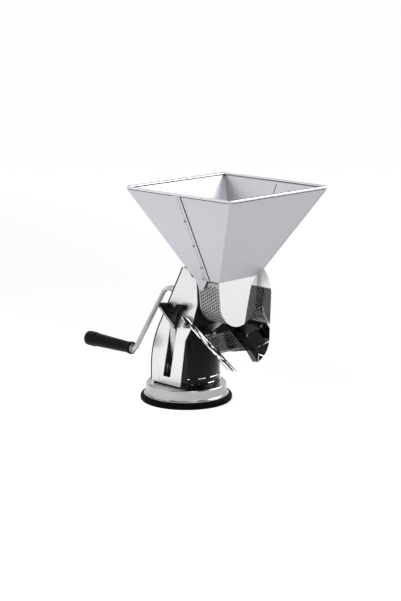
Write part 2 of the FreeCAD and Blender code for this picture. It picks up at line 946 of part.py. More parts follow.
def build_grip():
    """Black grip that turns on the spindle, with a well for its nut."""
    bore = d.rod_radius + d.running_fit
    length = d.grip_length
    turned("grip", [
        (bore, 0),
        (d.grip_collar_radius, 0),
        (d.grip_collar_radius, d.grip_collar),
        (d.grip_neck_radius, d.grip_collar),
        (d.grip_radius - d.grip_ridge, length - d.grip_step - d.grip_ridge_run),
        (d.grip_radius, length - d.grip_step),
        (d.grip_radius, length),
        (d.grip_well_radius, length),
        (d.grip_well_radius, length - d.grip_well),
        (bore, length - d.grip_well),
    ], grip_place(d.grip_start))


def build_grip_cap():
    """Domed plug that closes the grip's well."""
    plug = d.grip_dome
    end = d.grip_start + d.grip_length
    spread = bulge_radius(d.grip_radius, d.grip_dome)
    turned("grip_cap", [
        (0, -plug),
        (d.grip_well_radius, -plug),
        (d.grip_well_radius, 0),
        (d.grip_radius, 0, spread),
        (0, d.grip_dome),
    ], grip_place(end))


def build_grip_fasteners():
    """Nut on the end of the spindle and washer behind the grip."""
    nut_start = d.grip_start + d.grip_length - d.grip_well + d.end_play
    tube("grip_nut", d.grip_nut_radius, d.rod_radius, d.grip_nut_length, **grip_place(nut_start))
    washer_start = d.grip_start - d.washer_thickness - d.running_fit
    tube("grip_washer", d.washer_radius, d.rod_radius, d.washer_thickness, **grip_place(washer_start))


# ---------------------------------------------------------------- suction lever

def build_lever_bracket():
    """Folded steel channel on the deck with two ears for the pivot pin."""
    body = new_body("lever_bracket")
    inner = d.lever_width / 2 + d.cam_width + d.ear_gap
    outer = inner + d.bracket_wall
    top = d.pivot_height + d.bracket_rise
    sketch = trace(new_sketch(body, "YZ_Plane", d.pivot_x), [
        (lever_y - outer, deck_top),
        (lever_y + outer, deck_top),
        (lever_y + outer, top),
        (lever_y + inner, top),
        (lever_y + inner, deck_top + d.bracket_wall),
        (lever_y - inner, deck_top + d.bracket_wall),
        (lever_y - inner, top),
        (lever_y - outer, top),
    ])
    pad(body, sketch, d.bracket_depth, midplane=True)
    hole = ring_in(new_sketch(body, "XZ_Plane", -lever_y), d.pivot_x, d.pivot_height, d.pivot_radius)
    pocket_through(body, hole, outer * 4)


def pivot_place(y):
    return {"x": d.pivot_x, "y": y, "z": d.pivot_height, **ALONG_Y}


def pin_half():
    return d.lever_width / 2 + d.cam_width + d.ear_gap + d.bracket_wall * 1.5


def build_lever_pin():
    """Pivot pin, held by the bracket's ears."""
    length = pin_half() * 2
    finish(rod("lever_pin", d.pivot_radius, length, **pivot_place(lever_y - pin_half())), "lever_pin")


def build_cams():
    """Two eccentric cams beside the lever's hub; they lift the yoke as the lever comes down."""
    discs = []
    shift_x = d.cam_offset * sine(d.cam_phase)
    shift_z = d.cam_offset * cosine(d.cam_phase)
    for start in (lever_y - d.lever_width / 2 - d.cam_width, lever_y + d.lever_width / 2):
        disc = rod("cam_disc", d.cam_radius, d.cam_width,
                   x=d.pivot_x + shift_x, y=start, z=d.pivot_height + shift_z, **ALONG_Y)
        bore = rod("cam_bore", d.pivot_radius + d.running_fit, d.cam_width, **pivot_place(start))
        discs.append(cut("cam", disc, bore))
    finish(group("lever_cams", discs), "lever_cams")


def lever_side_outline():
    """The lever seen along the crank's axis: a bar that leans out from the hub."""
    half = d.lever_thickness / 2
    lean_x, lean_z = sine(d.lever_tilt), cosine(d.lever_tilt)
    base_x, base_z = d.pivot_x, d.pivot_height
    tip_x = base_x - lever_reach * lean_x
    tip_z = base_z + lever_reach * lean_z
    return [
        (base_x - half * lean_z, base_z - half * lean_x),
        (base_x + half * lean_z, base_z + half * lean_x),
        (tip_x + half * lean_z, tip_z + half * lean_x),
        (tip_x - half * lean_z, tip_z - half * lean_x),
    ]


def lever_face_outline(half, low, high):
    """The lever seen from the side of the tower: it leans with the slot."""
    return [
        (slot_y(low) - half, low),
        (slot_y(low) + half, low),
        (slot_y(high) + half, high),
        (slot_y(high) - half, high),
    ]


def helper_body(name):
    body = doc.addObject("PartDesign::Body", name)
    body.Label = name
    return body


def build_lever_arm():
    """Steel lever: a hub on the pivot pin and a bar that leans out through the slot."""
    side = helper_body("lever_side")
    depth = lever_reach
    pad(side, trace(new_sketch(side, "XZ_Plane", -lever_y), lever_side_outline()), depth, midplane=True)
    face = helper_body("lever_face")
    low = d.pivot_height - d.lever_hub_radius
    high = d.pivot_height + lever_reach
    outline = lever_face_outline(d.lever_width / 2, low, high)
    pad(face, trace(new_sketch(face, "YZ_Plane", d.pivot_x), outline), depth, midplane=True)
    bar = common("lever_bar", [side, face])
    hub = rod("lever_hub", d.lever_hub_radius, d.lever_width, **pivot_place(lever_y - d.lever_width / 2))
    bore = rod("lever_bore", d.pivot_radius + d.running_fit, d.lever_width * 3,
               **pivot_place(lever_y - d.lever_width * 1.5))
    channel = common("lever_channel", [lever_slab(), bar])
    finish(cut("lever_arm", group("lever_solid", [channel, hub]), bore), "lever_arm")


def lever_slab():
    """Keeps the bar's foot between the two cams."""
    low = block("lever_slab_low", lever_reach, d.lever_width, d.cam_radius * 2 + d.cam_offset,
                x=d.pivot_x - lever_reach / 2, y=lever_y - d.lever_width / 2,
                z=d.pivot_height - d.cam_radius)
    high = block("lever_slab_high", lever_reach, lever_reach, lever_reach * 2,
                 x=d.pivot_x - lever_reach / 2, y=lever_y - lever_reach / 2,
                 z=d.pivot_height + d.cam_radius + d.cam_offset)
    return group("lever_slab", [low, high])


def handle_outline():
    """Butterfly handle seen from the side of the tower: two wings, a notch between them and a tip."""
    middle = slot_y(wing_top) - d.wing_shift
    tip = slot_y(wing_tip) - d.wing_tip_shift
    half = d.wing_span / 2
    notch = d.wing_notch_width / 2
    ridge = [
        (notch, 0),
        (half, 0),
        (half, -d.wing_end),
        (d.rear_knee, -d.rear_knee_drop),
    ]
    front = [
        (-d.front_knee, -d.front_knee_drop),
        (-half, -d.wing_end),
        (-half, 0),
        (-notch, 0),
        (0, -d.wing_notch),
    ]
    foot = [
        (tip + d.wing_tip_width / 2, wing_tip),
        (tip - d.wing_tip_width / 2, wing_tip),
    ]
    return wing_points(middle, ridge) + foot + wing_points(middle, front)


def wing_points(middle, offsets):
    """Points of the leaning wings, from their distances along and above the middle of the top edge."""
    slope = tangent(d.wing_lean)
    return [(middle + along, wing_top + above - slope * along) for along, above in offsets]


def build_lever_handle():
    """Black moulded handle on the end of the lever, just outside the panel."""
    body = helper_body("handle_solid")
    start = -half_width - d.handle_gap - d.handle_depth
    pad(body, trace(new_sketch(body, "YZ_Plane", start), handle_outline()), d.handle_depth)
    finish(cut("lever_handle", body, doc.getObject("lever_arm")), "lever_handle")


def yoke_bottom():
    """The yoke rides just above the cams' rest height."""
    return d.pivot_height + d.cam_radius + d.cam_offset * cosine(d.cam_phase) + d.cam_gap


def build_stud():
    """Stud from the diaphragm up through the deck, the yoke over the cams and the nut that holds it."""
    foot = d.diaphragm_lift_off + d.diaphragm_thickness
    top = yoke_bottom() + d.yoke_thickness + d.stud_nut_height
    finish(rod("pull_stud", d.stud_radius, top - foot, z=foot), "pull_stud")
    tube("stud_nut", d.stud_nut_radius, d.stud_radius, d.stud_nut_height,
         z=yoke_bottom() + d.yoke_thickness)


def build_yoke():
    """Forked lifting plate: two legs over the cams, open between them for the lever."""
    body = new_body("lift_yoke")
    inner = d.lever_width / 2 + d.yoke_notch_gap
    outer = inner + d.yoke_side
    leg_end = d.pivot_x - d.pivot_radius
    crotch = -d.stud_radius * 2
    pad(body, trace(new_sketch(body, "XY_Plane", yoke_bottom()), [
        (leg_end, lever_y - outer),
        (d.yoke_front, lever_y - outer),
        (d.yoke_front, lever_y + outer),
        (leg_end, lever_y + outer),
        (leg_end, lever_y + inner),
        (crotch, lever_y + inner),
        (crotch, lever_y - inner),
        (leg_end, lever_y - inner),
    ]), d.yoke_thickness)
    bore = ring_in(new_sketch(body, "XY_Plane", yoke_bottom()), 0, 0, d.stud_radius)
    pocket_through(body, bore, d.yoke_thickness * 4)


# ---------------------------------------------------------------- hopper

def hopper_wedge(name, offset):
    """Solid pyramid frustum of the hopper, grown or shrunk sideways by an offset."""
    thing = doc.addObject("Part::Wedge", name)
    rim = d.hopper_rim / 2 + offset
    wide = d.hopper_width / 2 + offset
    deep = d.hopper_depth / 2 + offset
    bind(thing, Xmin=-wide, Xmax=wide, Zmin=-deep, Zmax=deep, Ymin=0, Ymax=d.hopper_rise,
         X2min=-rim, X2max=rim, Z2min=-rim, Z2max=rim)
    return place(thing, y=d.hopper_centre, z=hopper_bottom, axis=(1, 0, 0), angle=90)


def hopper_slice(name, y_start, y_end):
    """A block across the hopper between two distances, to part its halves."""
    return block(name, d.hopper_rim * 2, y_end - y_start, d.hopper_rise,
                 x=-d.hopper_rim, y=y_start, z=hopper_bottom)


def rivet_rods():
    """Seam rivets of both side faces, along X through the middle of the lap."""
    rods = []
    lean = (d.hopper_rim - d.hopper_width) / 2 / d.hopper_rise
    seam = d.hopper_seam + d.hopper_lap / 2
    reach = d.hopper_sheet * 2 + d.rivet_head
    for share in (d.rivet_low, d.rivet_middle, d.rivet_high):
        height = d.hopper_rise * share
        face = d.hopper_width / 2 + lean * height
        for side in (-1, 1):
            start = face - d.hopper_sheet if side > 0 else -face - d.hopper_sheet - d.rivet_head
            rods.append(rod("seam_rivet", d.rivet_radius, reach,
                            x=start, y=seam, z=hopper_bottom + height, **ALONG_X))
    return rods


def build_hopper():
    """Two folded halves: the rear one laps over the front one and the seams are riveted."""
    lap_end = d.hopper_seam + d.hopper_lap
    shell = cut("hopper_shell", hopper_wedge("hopper_out", 0), hopper_wedge("hopper_in", -d.hopper_sheet))
    lap_shell = cut("lap_shell", hopper_wedge("lap_out", d.hopper_sheet), hopper_wedge("lap_in", 0))
    front_zone = hopper_slice("front_zone", d.hopper_centre - d.hopper_rim, lap_end)
    rear_zone = hopper_slice("rear_zone", lap_end, d.hopper_centre + d.hopper_rim)
    lap_zone = hopper_slice("lap_zone", d.hopper_seam, lap_end)
    front = common("front_skin", [shell, front_zone])
    rear = common("rear_skin", [shell, rear_zone])
    lap = common("lap_skin", [lap_shell, lap_zone])
    rivets = group("rivet_solids", rivet_rods())
    tabs = hopper_tabs()
    rear_parts = group("rear_solid", [rear, rear_bridge(lap_end), lap, *tabs])
    finish(cut("hopper_front", front, group("front_cuts", [rivets, *tabs])), "hopper_front")
    finish(cut("hopper_rear", rear_parts, rivets), "hopper_rear")
    finish(rivets, "seam_rivets")


def rear_bridge(lap_end):
    """Doubled stretch of the rear half where its sheet steps out over the lap."""
    shell = cut("bridge_shell", hopper_wedge("bridge_out", d.hopper_sheet),
                hopper_wedge("bridge_in", -d.hopper_sheet))
    zone = hopper_slice("bridge_zone", lap_end, lap_end + d.hopper_sheet * 2)
    return common("bridge_skin", [shell, zone])


def hopper_tabs():
    """Two hanging tabs that locate the hopper outside the trough, each tapering to its tip."""
    tabs = []
    rear = d.hopper_centre + d.hopper_depth / 2 - d.hopper_sheet
    front = rear - d.tab_width
    middle = (rear + front) / 2
    top = hopper_bottom + d.hopper_sheet
    low = hopper_bottom - d.tab_length
    for side in (-1, 1):
        face = d.hopper_width / 2
        body = helper_body("hopper_tab")
        inner = face - d.hopper_sheet
        start = inner if side > 0 else -inner - d.tab_sheet
        pad(body, trace(new_sketch(body, "YZ_Plane", start), [
            (front, top),
            (middle - d.tab_tip / 2, low),
            (middle + d.tab_tip / 2, low),
            (rear, top),
        ]), d.tab_sheet)
        tabs.append(body)
    return tabs


def build_collar():
    """Flanged rectangular spigot inside the hopper's mouth; it drops between the trough's walls."""
    body = new_body("hopper_collar")
    wall = d.hopper_sheet
    centre = d.hopper_centre
    half_x = d.screen_flare - d.collar_gap * 2
    half_y = d.hopper_depth / 2 - d.front_plate_thickness - d.collar_gap
    rest_x = d.hopper_width / 2 - wall
    rest_y = d.hopper_depth / 2 - wall
    foot = hopper_bottom - d.collar_drop
    pad(body, rectangle(body, hopper_bottom, rest_x, rest_y, centre), wall)
    pad(body, rectangle(body, foot, half_x, half_y, centre), d.collar_drop + wall)
    pocket_through(body, rectangle(body, foot, half_x - wall, half_y - wall, centre), d.collar_drop * 4)


def rectangle(body, height, half_x, half_y, centre):
    return trace(new_sketch(body, "XY_Plane", height), [
        (-half_x, centre - half_y),
        (half_x, centre - half_y),
        (half_x, centre + half_y),
        (-half_x, centre + half_y),
    ])


def build_rim_wire():
    """Wire round the hopper's rim, with rounded corners."""
    body = new_body("rim_wire")
    half = d.hopper_rim / 2
    corner = d.rim_corner
    near = half - corner
    height = hopper_top + d.rim_wire_radius
    path = trace(new_sketch(body, "XY_Plane", height), [
        (-near, -half),
        (near, -half, corner),
        (half, -near),
        (half, near, corner),
        (near, half),
        (-near, half, corner),
        (-half, near),
        (-half, -near, corner),
    ])
    sweep(body, ring_in(new_sketch(body, "YZ_Plane", -near), -half, height, d.rim_wire_radius), path)
    place(body, y=d.hopper_centre)


# ---------------------------------------------------------------- chute

def build_chute_floor():
    """Sloping floor plate, as wide as the leaning walls leave it."""
    body = helper_body("chute_floor")
    run = (d.chute_head_y - d.chute_lip_y) / cosine(d.chute_slope)
    climb = (d.chute_head_y - d.chute_lip_y) * tangent(d.chute_slope)
    lip = d.chute_lip_width / 2
    head = lip + climb * tangent(d.chute_lean)
    bite = d.chute_bite
    pad(body, trace(new_sketch(body, "XY_Plane"), [
        (-lip - bite, 0),
        (lip + bite, 0),
        (head + bite, run),
        (-head - bite, run),
    ]), d.chute_sheet)
    place(body, y=d.chute_lip_y, z=chute_lip, axis=(1, 0, 0), angle=d.chute_slope)
    return body


def wall_rise(y):
    """Height of the floor's underside along a leaning wall, from the lip."""
    return (y - d.chute_lip_y) * tangent(d.chute_slope) / cosine(d.chute_lean)


def up_wall(rise):
    """A rise above the lip, measured up the leaning plane of a wall."""
    return rise / cosine(d.chute_lean)


def wall_outline(overhang):
    """Low side wall: cut level over the hook and level again past the lip."""
    rise = d.chute_wall_height / cosine(d.chute_slope)
    climb = tangent(d.chute_slope) / cosine(d.chute_lean)
    over = d.chute_lip_y - overhang
    head = d.ear_y
    level = up_wall(d.ear_rise)
    turn = d.chute_lip_y + (level - rise) / climb
    return [
        (d.chute_lip_y, 0),
        (head, wall_rise(head)),
        (head, level),
        (turn, level),
        (over, wall_rise(over) + rise),
        (over, 0),
    ]


def lean_wall(name, side, shift, outline):
    """A plate in the leaning plane of one chute wall, moved outwards by a shift."""
    body = helper_body(name)
    thickness = d.chute_sheet
    start = shift if side > 0 else -shift - thickness
    pad(body, trace(new_sketch(body, "YZ_Plane", start), outline), thickness)
    place(body, x=side * d.chute_lip_width / 2, z=chute_lip,
          axis=(0, 1, 0), angle=side * d.chute_lean)
    return body


def hook_spot():
    """Centre of the chute's hook pin in side view."""
    return d.hook_y, chute_z(d.hook_y) - d.hook_drop + d.chute_sheet


def ear_outline():
    """Small ear below the wall's end, round the hook pin."""
    y, _ = hook_spot()
    centre = wall_rise(y) - d.hook_drop
    span = d.ear_radius
    return [
        (y - span, wall_rise(y - span)),
        (y - span, centre - d.hook_radius * 2),
        (y + span, centre - d.hook_radius * 2),
        (y + span, wall_rise(y + span)),
    ]


def hook_notch(side):
    """Slot open to the rear that lets the ear slide on to its pin."""
    y, z = hook_spot()
    width = (d.hook_radius + d.hook_clearance) * 2
    reach = half_width + d.hook_length
    start = 0 if side > 0 else -reach
    round_end = rod("notch_round", width / 2, reach, x=start, y=y, z=z, **ALONG_X)
    slit = block("notch_slit", reach, d.ear_radius * 2, width, x=start, y=y, z=z - width / 2)
    return [round_end, slit]


def build_chute_tray():
    """Polished folded tray: floor, two low walls and the hooked ears behind them."""
    plates = [build_chute_floor()]
    cutters = []
    for side, name in ((-1, "left"), (1, "right")):
        overhang = d.chute_overhang if side < 0 else d.chute_sheet
        plates.append(lean_wall(f"{name}_wall", side, 0, wall_outline(overhang)))
        plates.append(lean_wall(f"{name}_ear", side, 0, ear_outline()))
        cutters.extend(hook_notch(side))
    solid = group("chute_solid", plates)
    finish(cut("chute_tray", solid, group("chute_cuts", cutters + guard_rivet_rods("tray"))), "chute_tray")


def build_hook_pins():
    """Pins on the tower's sides that the chute hangs on."""
    y, z = hook_spot()
    pins = [
        rod("hook_pin", d.hook_radius, d.hook_length, x=half_width, y=y, z=z, **ALONG_X),
        rod("hook_pin", d.hook_radius, d.hook_length, x=-half_width - d.hook_length, y=y, z=z, **ALONG_X),
    ]
    finish(group("hook_pins", pins), "hook_pins")


def guard_outline():
    """Tall splash guard: a curved front edge and a straight foot along the floor."""
    rear = d.guard_back_y
    return [
        (d.chute_lip_y, 0),
        (rear, wall_rise(rear)),
        (rear, up_wall(d.guard_back_rise)),
        (d.guard_top_y, up_wall(d.guard_top_rise), d.guard_brow_radius),
        (d.guard_brow_y, up_wall(d.guard_brow_rise)),
        (d.guard_front_y, up_wall(d.guard_front_rise), d.guard_chin_radius),
    ]


def guard_rivet_rods(prefix):
    """Three rivets through the right wall and the guard."""
    rods = []
    for quarter in (1, 2, 3):
        y = d.chute_lip_y + (d.guard_back_y - d.chute_lip_y) * quarter / 4
        z = chute_z(y) + d.chute_wall_height / 2
        face = d.chute_lip_width / 2 + (z - chute_lip) * tangent(d.chute_lean)
        reach = d.chute_sheet * 2 + d.rivet_head
        rods.append(rod(f"{prefix}_guard_rivet", d.rivet_radius, reach, x=face, y=y, z=z,
                        axis=(0, 1, 0), angle=90 + d.chute_lean))
    return rods


def build_guard():
    """Splash guard riveted outside the tray's right wall."""
    plate = lean_wall("guard_plate", 1, d.chute_sheet, guard_outline())
    rivets = group("guard_rivet_solids", guard_rivet_rods("guard"))
    finish(cut("splash_guard", plate, rivets), "splash_guard")
    finish(rivets, "guard_rivets")


# ---------------------------------------------------------------- small fasteners

def build_panel_screws():
    """Button screws of the right panel, which comes off; the left one is welded to the back cover."""
    spots = [
        (d.frame_front + d.screw_head_radius * 2, panel_bottom + d.screw_head_radius),
        (d.tower_back - d.frame_wall * 3, panel_bottom + d.screw_head_radius),
        (d.hood_face + d.hood_ledge * 1.6, hopper_bottom - d.hood_ledge),
    ]
    screws = [
        rod("panel_screw", d.screw_head_radius, d.screw_head, x=half_width, y=y, z=z, **ALONG_X)
        for y, z in spots
    ]
    finish(group("panel_screws", screws), "panel_screws")


def build_bracket_screws():
    """Screws that hold the lever bracket down on the deck."""
    spread = d.bracket_depth / 2 - d.screw_head_radius
    screws = [
        rod("bracket_screw", d.screw_head_radius, d.screw_head,
            x=d.pivot_x + spread * side, y=lever_y, z=deck_top + d.bracket_wall)
        for side in (-1, 1)
    ]
    finish(group("bracket_screws", screws), "bracket_screws")


def build_all():
    build_foot_ring()
    build_base_ring()
    build_base_deck()
    build_diaphragm()
    build_side_panel("left_panel", -half_width, slotted=True)
    build_side_panel("right_panel", panel_inner, slotted=False)
    build_back_cover()
    build_tower_frame()
    build_front_cover()
    build_hood()
    build_screen()
    build_screen_flange()
    build_front_plate()
    build_bushes()
    build_shaft()
    build_lock_screw()
    build_rotor()
    build_crank_arm()
    build_grip()
    build_grip_cap()
    build_grip_fasteners()
    build_lever_bracket()
    build_lever_pin()
    build_cams()
    build_lever_arm()
    build_lever_handle()
    build_stud()
    build_yoke()
    build_hopper()
    build_collar()
    build_rim_wire()
    build_chute_tray()
    build_hook_pins()
    build_guard()
    build_panel_screws()
    build_bracket_screws()


def check_document():
    """Stops on a failed object or an empty or broken sub-part."""
    broken = [thing.Label for thing in doc.Objects if {"Invalid", "Error"} & set(thing.State)]
    broken += [thing.Label for thing in finished if thing.Shape.isNull() or not thing.Shape.isValid()]
    if broken:
        raise RuntimeError("failed objects: " + ", ".join(sorted(set(broken))))


def write_parts():
    os.makedirs("parts", exist_ok=True)
    for thing in finished:
        thing.Shape.exportStep(f"parts/{thing.Label}.step")


build_all()
doc.recompute()
check_document()
write_parts()
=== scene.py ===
import math

import bmesh
import bpy
from mathutils import Matrix, Vector


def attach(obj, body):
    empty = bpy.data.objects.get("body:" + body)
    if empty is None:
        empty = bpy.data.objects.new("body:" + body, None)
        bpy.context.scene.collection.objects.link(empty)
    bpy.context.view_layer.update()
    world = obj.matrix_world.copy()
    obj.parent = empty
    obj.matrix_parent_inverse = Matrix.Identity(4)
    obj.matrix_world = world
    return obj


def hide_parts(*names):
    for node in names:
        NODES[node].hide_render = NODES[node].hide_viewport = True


# Tomato strainer with a crank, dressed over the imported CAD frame. The object's lengths are in
# millimetres here and turn into metres in the mesh helpers. Lights, cards and the camera are placed in
# metres. X is across the object, -Y is its front and Z is up.

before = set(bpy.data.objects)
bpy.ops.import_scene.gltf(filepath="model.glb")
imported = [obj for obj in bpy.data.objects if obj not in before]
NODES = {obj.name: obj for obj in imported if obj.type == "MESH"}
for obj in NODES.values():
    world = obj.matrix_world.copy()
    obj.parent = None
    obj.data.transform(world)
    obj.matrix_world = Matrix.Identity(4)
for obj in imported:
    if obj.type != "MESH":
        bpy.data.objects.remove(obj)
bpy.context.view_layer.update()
MM = 0.001
SIDES = ((-1, "left"), (1, "right"))
MERGE_DISTANCE = 1e-6

# foot and base
FOOT_BORE = 54.5
FOOT_RADIUS = 67.9
FOOT_HEIGHT = 8.9
RING_BOTTOM = 9.0
RING_TOP = 26.0
RING_LIP_RADIUS = 62.9
RING_RADIUS = 59.4
RING_BORE = 57.9
RING_RIM_BORE = 52.5

# crank and grip
AXIS_Z = 161.5
CRANK_ANGLE = math.radians(37.5)
CRANK_THROW = 104.0
CRANK_Y = 42.0
CRANK_START_Y = 8.5
ELBOW_RADIUS = 9.0
KNUCKLE_RADIUS = 5.0
ROD_RADIUS = 3.5
ROD_STOP = 8.0
GRIP_Y = 48.0
GRIP_LENGTH = 94.5
GRIP_BORE = 3.6
CAP_SOCKET_RADIUS = 7.0
CAP_SOCKET_DEPTH = 14.0

# tower, front cover and screen, whose hole pitches run round its U and along the trough
HALF_WIDTH = 36.0
HOOD_FACE = -59.0
PANEL_BACK_Y = 36.7
PANEL_BEND_Z = 45.0
PANEL_BEND_RADIUS = 150.0
PANEL_LEAN = math.radians(28)
COVER_BEAD_RADIUS = 50.2
TROUGH_LENGTH = 45.0
SCREEN_RADIUS = 34.0
SCREEN_TOP_HALF = 37.7
SCREEN_RISE = 30.8
SCREEN_SHEET = 0.9
HOLE_RADIUS = 1.55
HOLE_PITCH_ROUND = 4.6
HOLE_PITCH_Y = 4.0

# lever: the slot in the left panel, the butterfly handle and the channel behind the slot
SLOT_FOOT_Y = 5.1
SLOT_FOOT_Z = 38.5
SLOT_LEAN = math.radians(11)
HANDLE_TOP_Z = 152.0
HANDLE_TIP_Z = 114.5
HANDLE_BACK_X = -38.5
HANDLE_FACE_X = -47.0
CHANNEL_LEAN = math.radians(13.5)
CHANNEL_X = -22.2
CHANNEL_X_AT_Z = 48.0
CHANNEL_BOTTOM_Z = 66.0
CHANNEL_TOP_Z = 126.0

# chute: its lip is the low front end, its walls lean outwards and its ears hang on the hook pins; the
# splash guard turns from mirror to a painted bright reflection between two heights
LIP_Y = -114.0
LIP_Z = 69.2
CHUTE_BACK_Y = -48.0
CHUTE_ANGLE = math.radians(37)
CHUTE_RISE = math.tan(CHUTE_ANGLE)
WALL_X = 30.0
WALL_LEAN = math.radians(8.5)
WALL_CLIMB = CHUTE_RISE / math.cos(WALL_LEAN)
WALL_HEIGHT = 10.5
HOOK_Y = -37.2
HOOK_UP = 56.09
HOOK_RADIUS = 2.68
FLOOR_BEND_Y = -92.0
FLOOR_BEND = 2.4
GUARD_PAINTED_REFLECTION_Z = (176.0, 177.5)

# hopper: a four-sided funnel, from its foot up to its rim
HOPPER_Y = -81.45
HOPPER_FOOT_Z = 194.3
HOPPER_HEIGHT = 127.0
HOPPER_FOOT_HALF_X = 40.5
HOPPER_FOOT_HALF_Y = 23.95
HOPPER_RIM_HALF = 100.0
SEAM_Y = -87.75
SEAM_STEP_Y = -81.8


# ---------------------------------------------------------------- meshes

def mesh_object(name, verts, faces, sharp=30):
    """A new mesh object from points in millimetres, smooth except over sharp edges."""
    mesh = bpy.data.meshes.new(name)
    mesh.from_pydata([tuple(c * MM for c in v) for v in verts], [], faces)
    mesh.validate()
    work = bmesh.new()
    work.from_mesh(mesh)
    bmesh.ops.remove_doubles(work, verts=work.verts, dist=MERGE_DISTANCE)
    bmesh.ops.recalc_face_normals(work, faces=work.faces)
    work.to_mesh(mesh)
    work.free()
    mesh.shade_smooth()
    mesh.set_sharp_from_angle(angle=math.radians(sharp))
    obj = bpy.data.objects.new(name, mesh)
    bpy.context.scene.collection.objects.link(obj)
    return obj


def loft(name, sections, sharp):
    """Joins a row of closed sections of equal length, with a flat face on the first and the last."""
    count = len(sections[0])
    verts = [point for section in sections for point in section]
    faces = []
    for level in range(len(sections) - 1):
        for i in range(count):
            j = (i + 1) % count
            faces.append([level * count + i, level * count + j, (level + 1) * count + j,
                          (level + 1) * count + i])
    faces.append(list(range(count)))
    faces.append([(len(sections) - 1) * count + i for i in range(count)])
    return mesh_object(name, verts, faces, sharp)


def fillet(points, radius, steps=5, closed=True):
    """Rounds the corners of an outline; radius has one number for each point."""
    count = len(points)
    straight = math.pi - 0.02
    most = 0.48
    out = []
    for i, here in enumerate(points):
        here = Vector(here)
        if not closed and i in (0, count - 1):
            out.append(tuple(here))
            continue
        back = Vector(points[i - 1]) - here
        ahead = Vector(points[(i + 1) % count]) - here
        turn = back.angle(ahead)
        if radius[i] <= 0 or turn > straight:
            out.append(tuple(here))
            continue
        reach = min(radius[i] / math.tan(turn / 2), back.length * most, ahead.length * most)
        first = here + back.normalized() * reach
        last = here + ahead.normalized() * reach
        for k in range(steps + 1):
            t = k / steps
            out.append(tuple(first.lerp(here, t).lerp(here.lerp(last, t), t)))
    return out


def lathe(name, outline, steps, closed=True, place=None):
    """Turns an outline of (radius, height) about Z; place is a matrix in millimetres."""
    verts, faces, rings = [], [], []
    for radius, height in outline:
        if radius == 0:
            rings.append([len(verts)] * steps)
            verts.append((0, 0, height))
            continue
        rings.append(list(range(len(verts), len(verts) + steps)))
        for k in range(steps):
            a = 2 * math.pi * k / steps
            verts.append((radius * math.cos(a), radius * math.sin(a), height))
    last = len(rings) if closed else len(rings) - 1
    for i in range(last):
        one, two = rings[i], rings[(i + 1) % len(rings)]
        for k in range(steps):
            j = (k + 1) % steps
            corners = [one[k], one[j], two[j], two[k]]
            face = [c for n, c in enumerate(corners) if c not in corners[:n]]
            if len(face) > 2:
                faces.append(face)
    if place:
        verts = [tuple(place @ Vector(v)) for v in verts]
    return mesh_object(name, verts, faces)


def along_y(x, y, z):
    """Places a lathe's Z axis along +Y at a point."""
    return Matrix.Translation((x, y, z)) @ Matrix.Rotation(-math.pi / 2, 4, "X")


def tube(name, path, radius, steps):
    """A round rod along a list of points, with flat ends."""
    points = [Vector(p) for p in path]
    angles = [2 * math.pi * k / steps for k in range(steps)]
    sections = []
    side = None
    for i, here in enumerate(points):
        ahead = points[min(i + 1, len(points) - 1)] - points[max(i - 1, 0)]
        ahead.normalize()
        if side is None:
            side = ahead.orthogonal().normalized()
        side = (side - ahead * side.dot(ahead)).normalized()
        up = ahead.cross(side)
        sections.append([tuple(here + (side * math.cos(a) + up * math.sin(a)) * radius) for a in angles])
    return loft(name, sections, 40)


def arc(centre, start, end, steps):
    """Points on the arc from start to end about a centre, both ends included."""
    centre, start, end = Vector(centre), Vector(start), Vector(end)
    one, two = start - centre, end - centre
    angle = one.angle(two)
    axis = one.cross(two).normalized()
    return [tuple(centre + Matrix.Rotation(angle * k / steps, 3, axis) @ one) for k in range(steps + 1)]


def soften(obj, width, segments, angle=35):
    """Rounds an object's sharp edges with a bevel modifier; width in millimetres."""
    bevel = obj.modifiers.new("edge_round", "BEVEL")
    bevel.width = width * MM
    bevel.segments = segments
    bevel.limit_method = "ANGLE"
    bevel.angle_limit = math.radians(angle)
    bevel.harden_normals = True


def paint(obj, mat):
    """Gives an object one material in place of any it has."""
    if not obj.material_slots:
        obj.data.materials.append(mat)
    for place in obj.material_slots:
        place.link = "OBJECT"
        place.material = mat


def paint_faces(obj, mat, chosen):
    """A second material on the faces that a test picks."""
    obj.data.materials.append(mat)
    obj.material_slots[1].link = "OBJECT"
    obj.material_slots[1].material = mat
    for face in obj.data.polygons:
        if chosen(face):
            face.material_index = 1


def dress(node, mat, bevel):
    """A better material for a CAD node that stays in view, and softened edges when bevel is not zero."""
    obj = NODES[node]
    paint(obj, mat)
    if bevel:
        weld = obj.modifiers.new("join_points", "WELD")
        weld.merge_threshold = MERGE_DISTANCE
        soften(obj, bevel, 2)


def piece(obj, body, mat, slot, *nodes):
    """A finished piece: its material, the body it rides on and the nodes it stands for; slot is not used.
    """
    paint(obj, mat)
    if nodes:
        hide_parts(*nodes)
    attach(obj, body)


def dark_line(name, path, radius, body, steps=10):
    """A thin dark line that stands for the shadow in a seam or under an edge."""
    piece(tube(name, path, radius, steps), body, SHADOW, "black_moulding")


# ---------------------------------------------------------------- material nodes

def shader_of(mat):
    """A material's shader node."""
    return mat.node_tree.nodes["Principled BSDF"]


def shade(color, factor):
    """A colour made darker or lighter by a factor."""
    return tuple(c * factor for c in color)


def grey(level):
    """A grey of one level."""
    return (level, level, level)


def material(name, color, metallic, roughness, specular=0.5):
    """A new material with its plain values on the shader's own sockets."""
    mat = bpy.data.materials.new(name)
    mat.use_nodes = True
    shader = shader_of(mat)
    shader.inputs["Base Color"].default_value = (*color, 1)
    shader.inputs["Metallic"].default_value = metallic
    shader.inputs["Roughness"].default_value = roughness
    shader.inputs["Specular IOR Level"].default_value = specular
    return mat


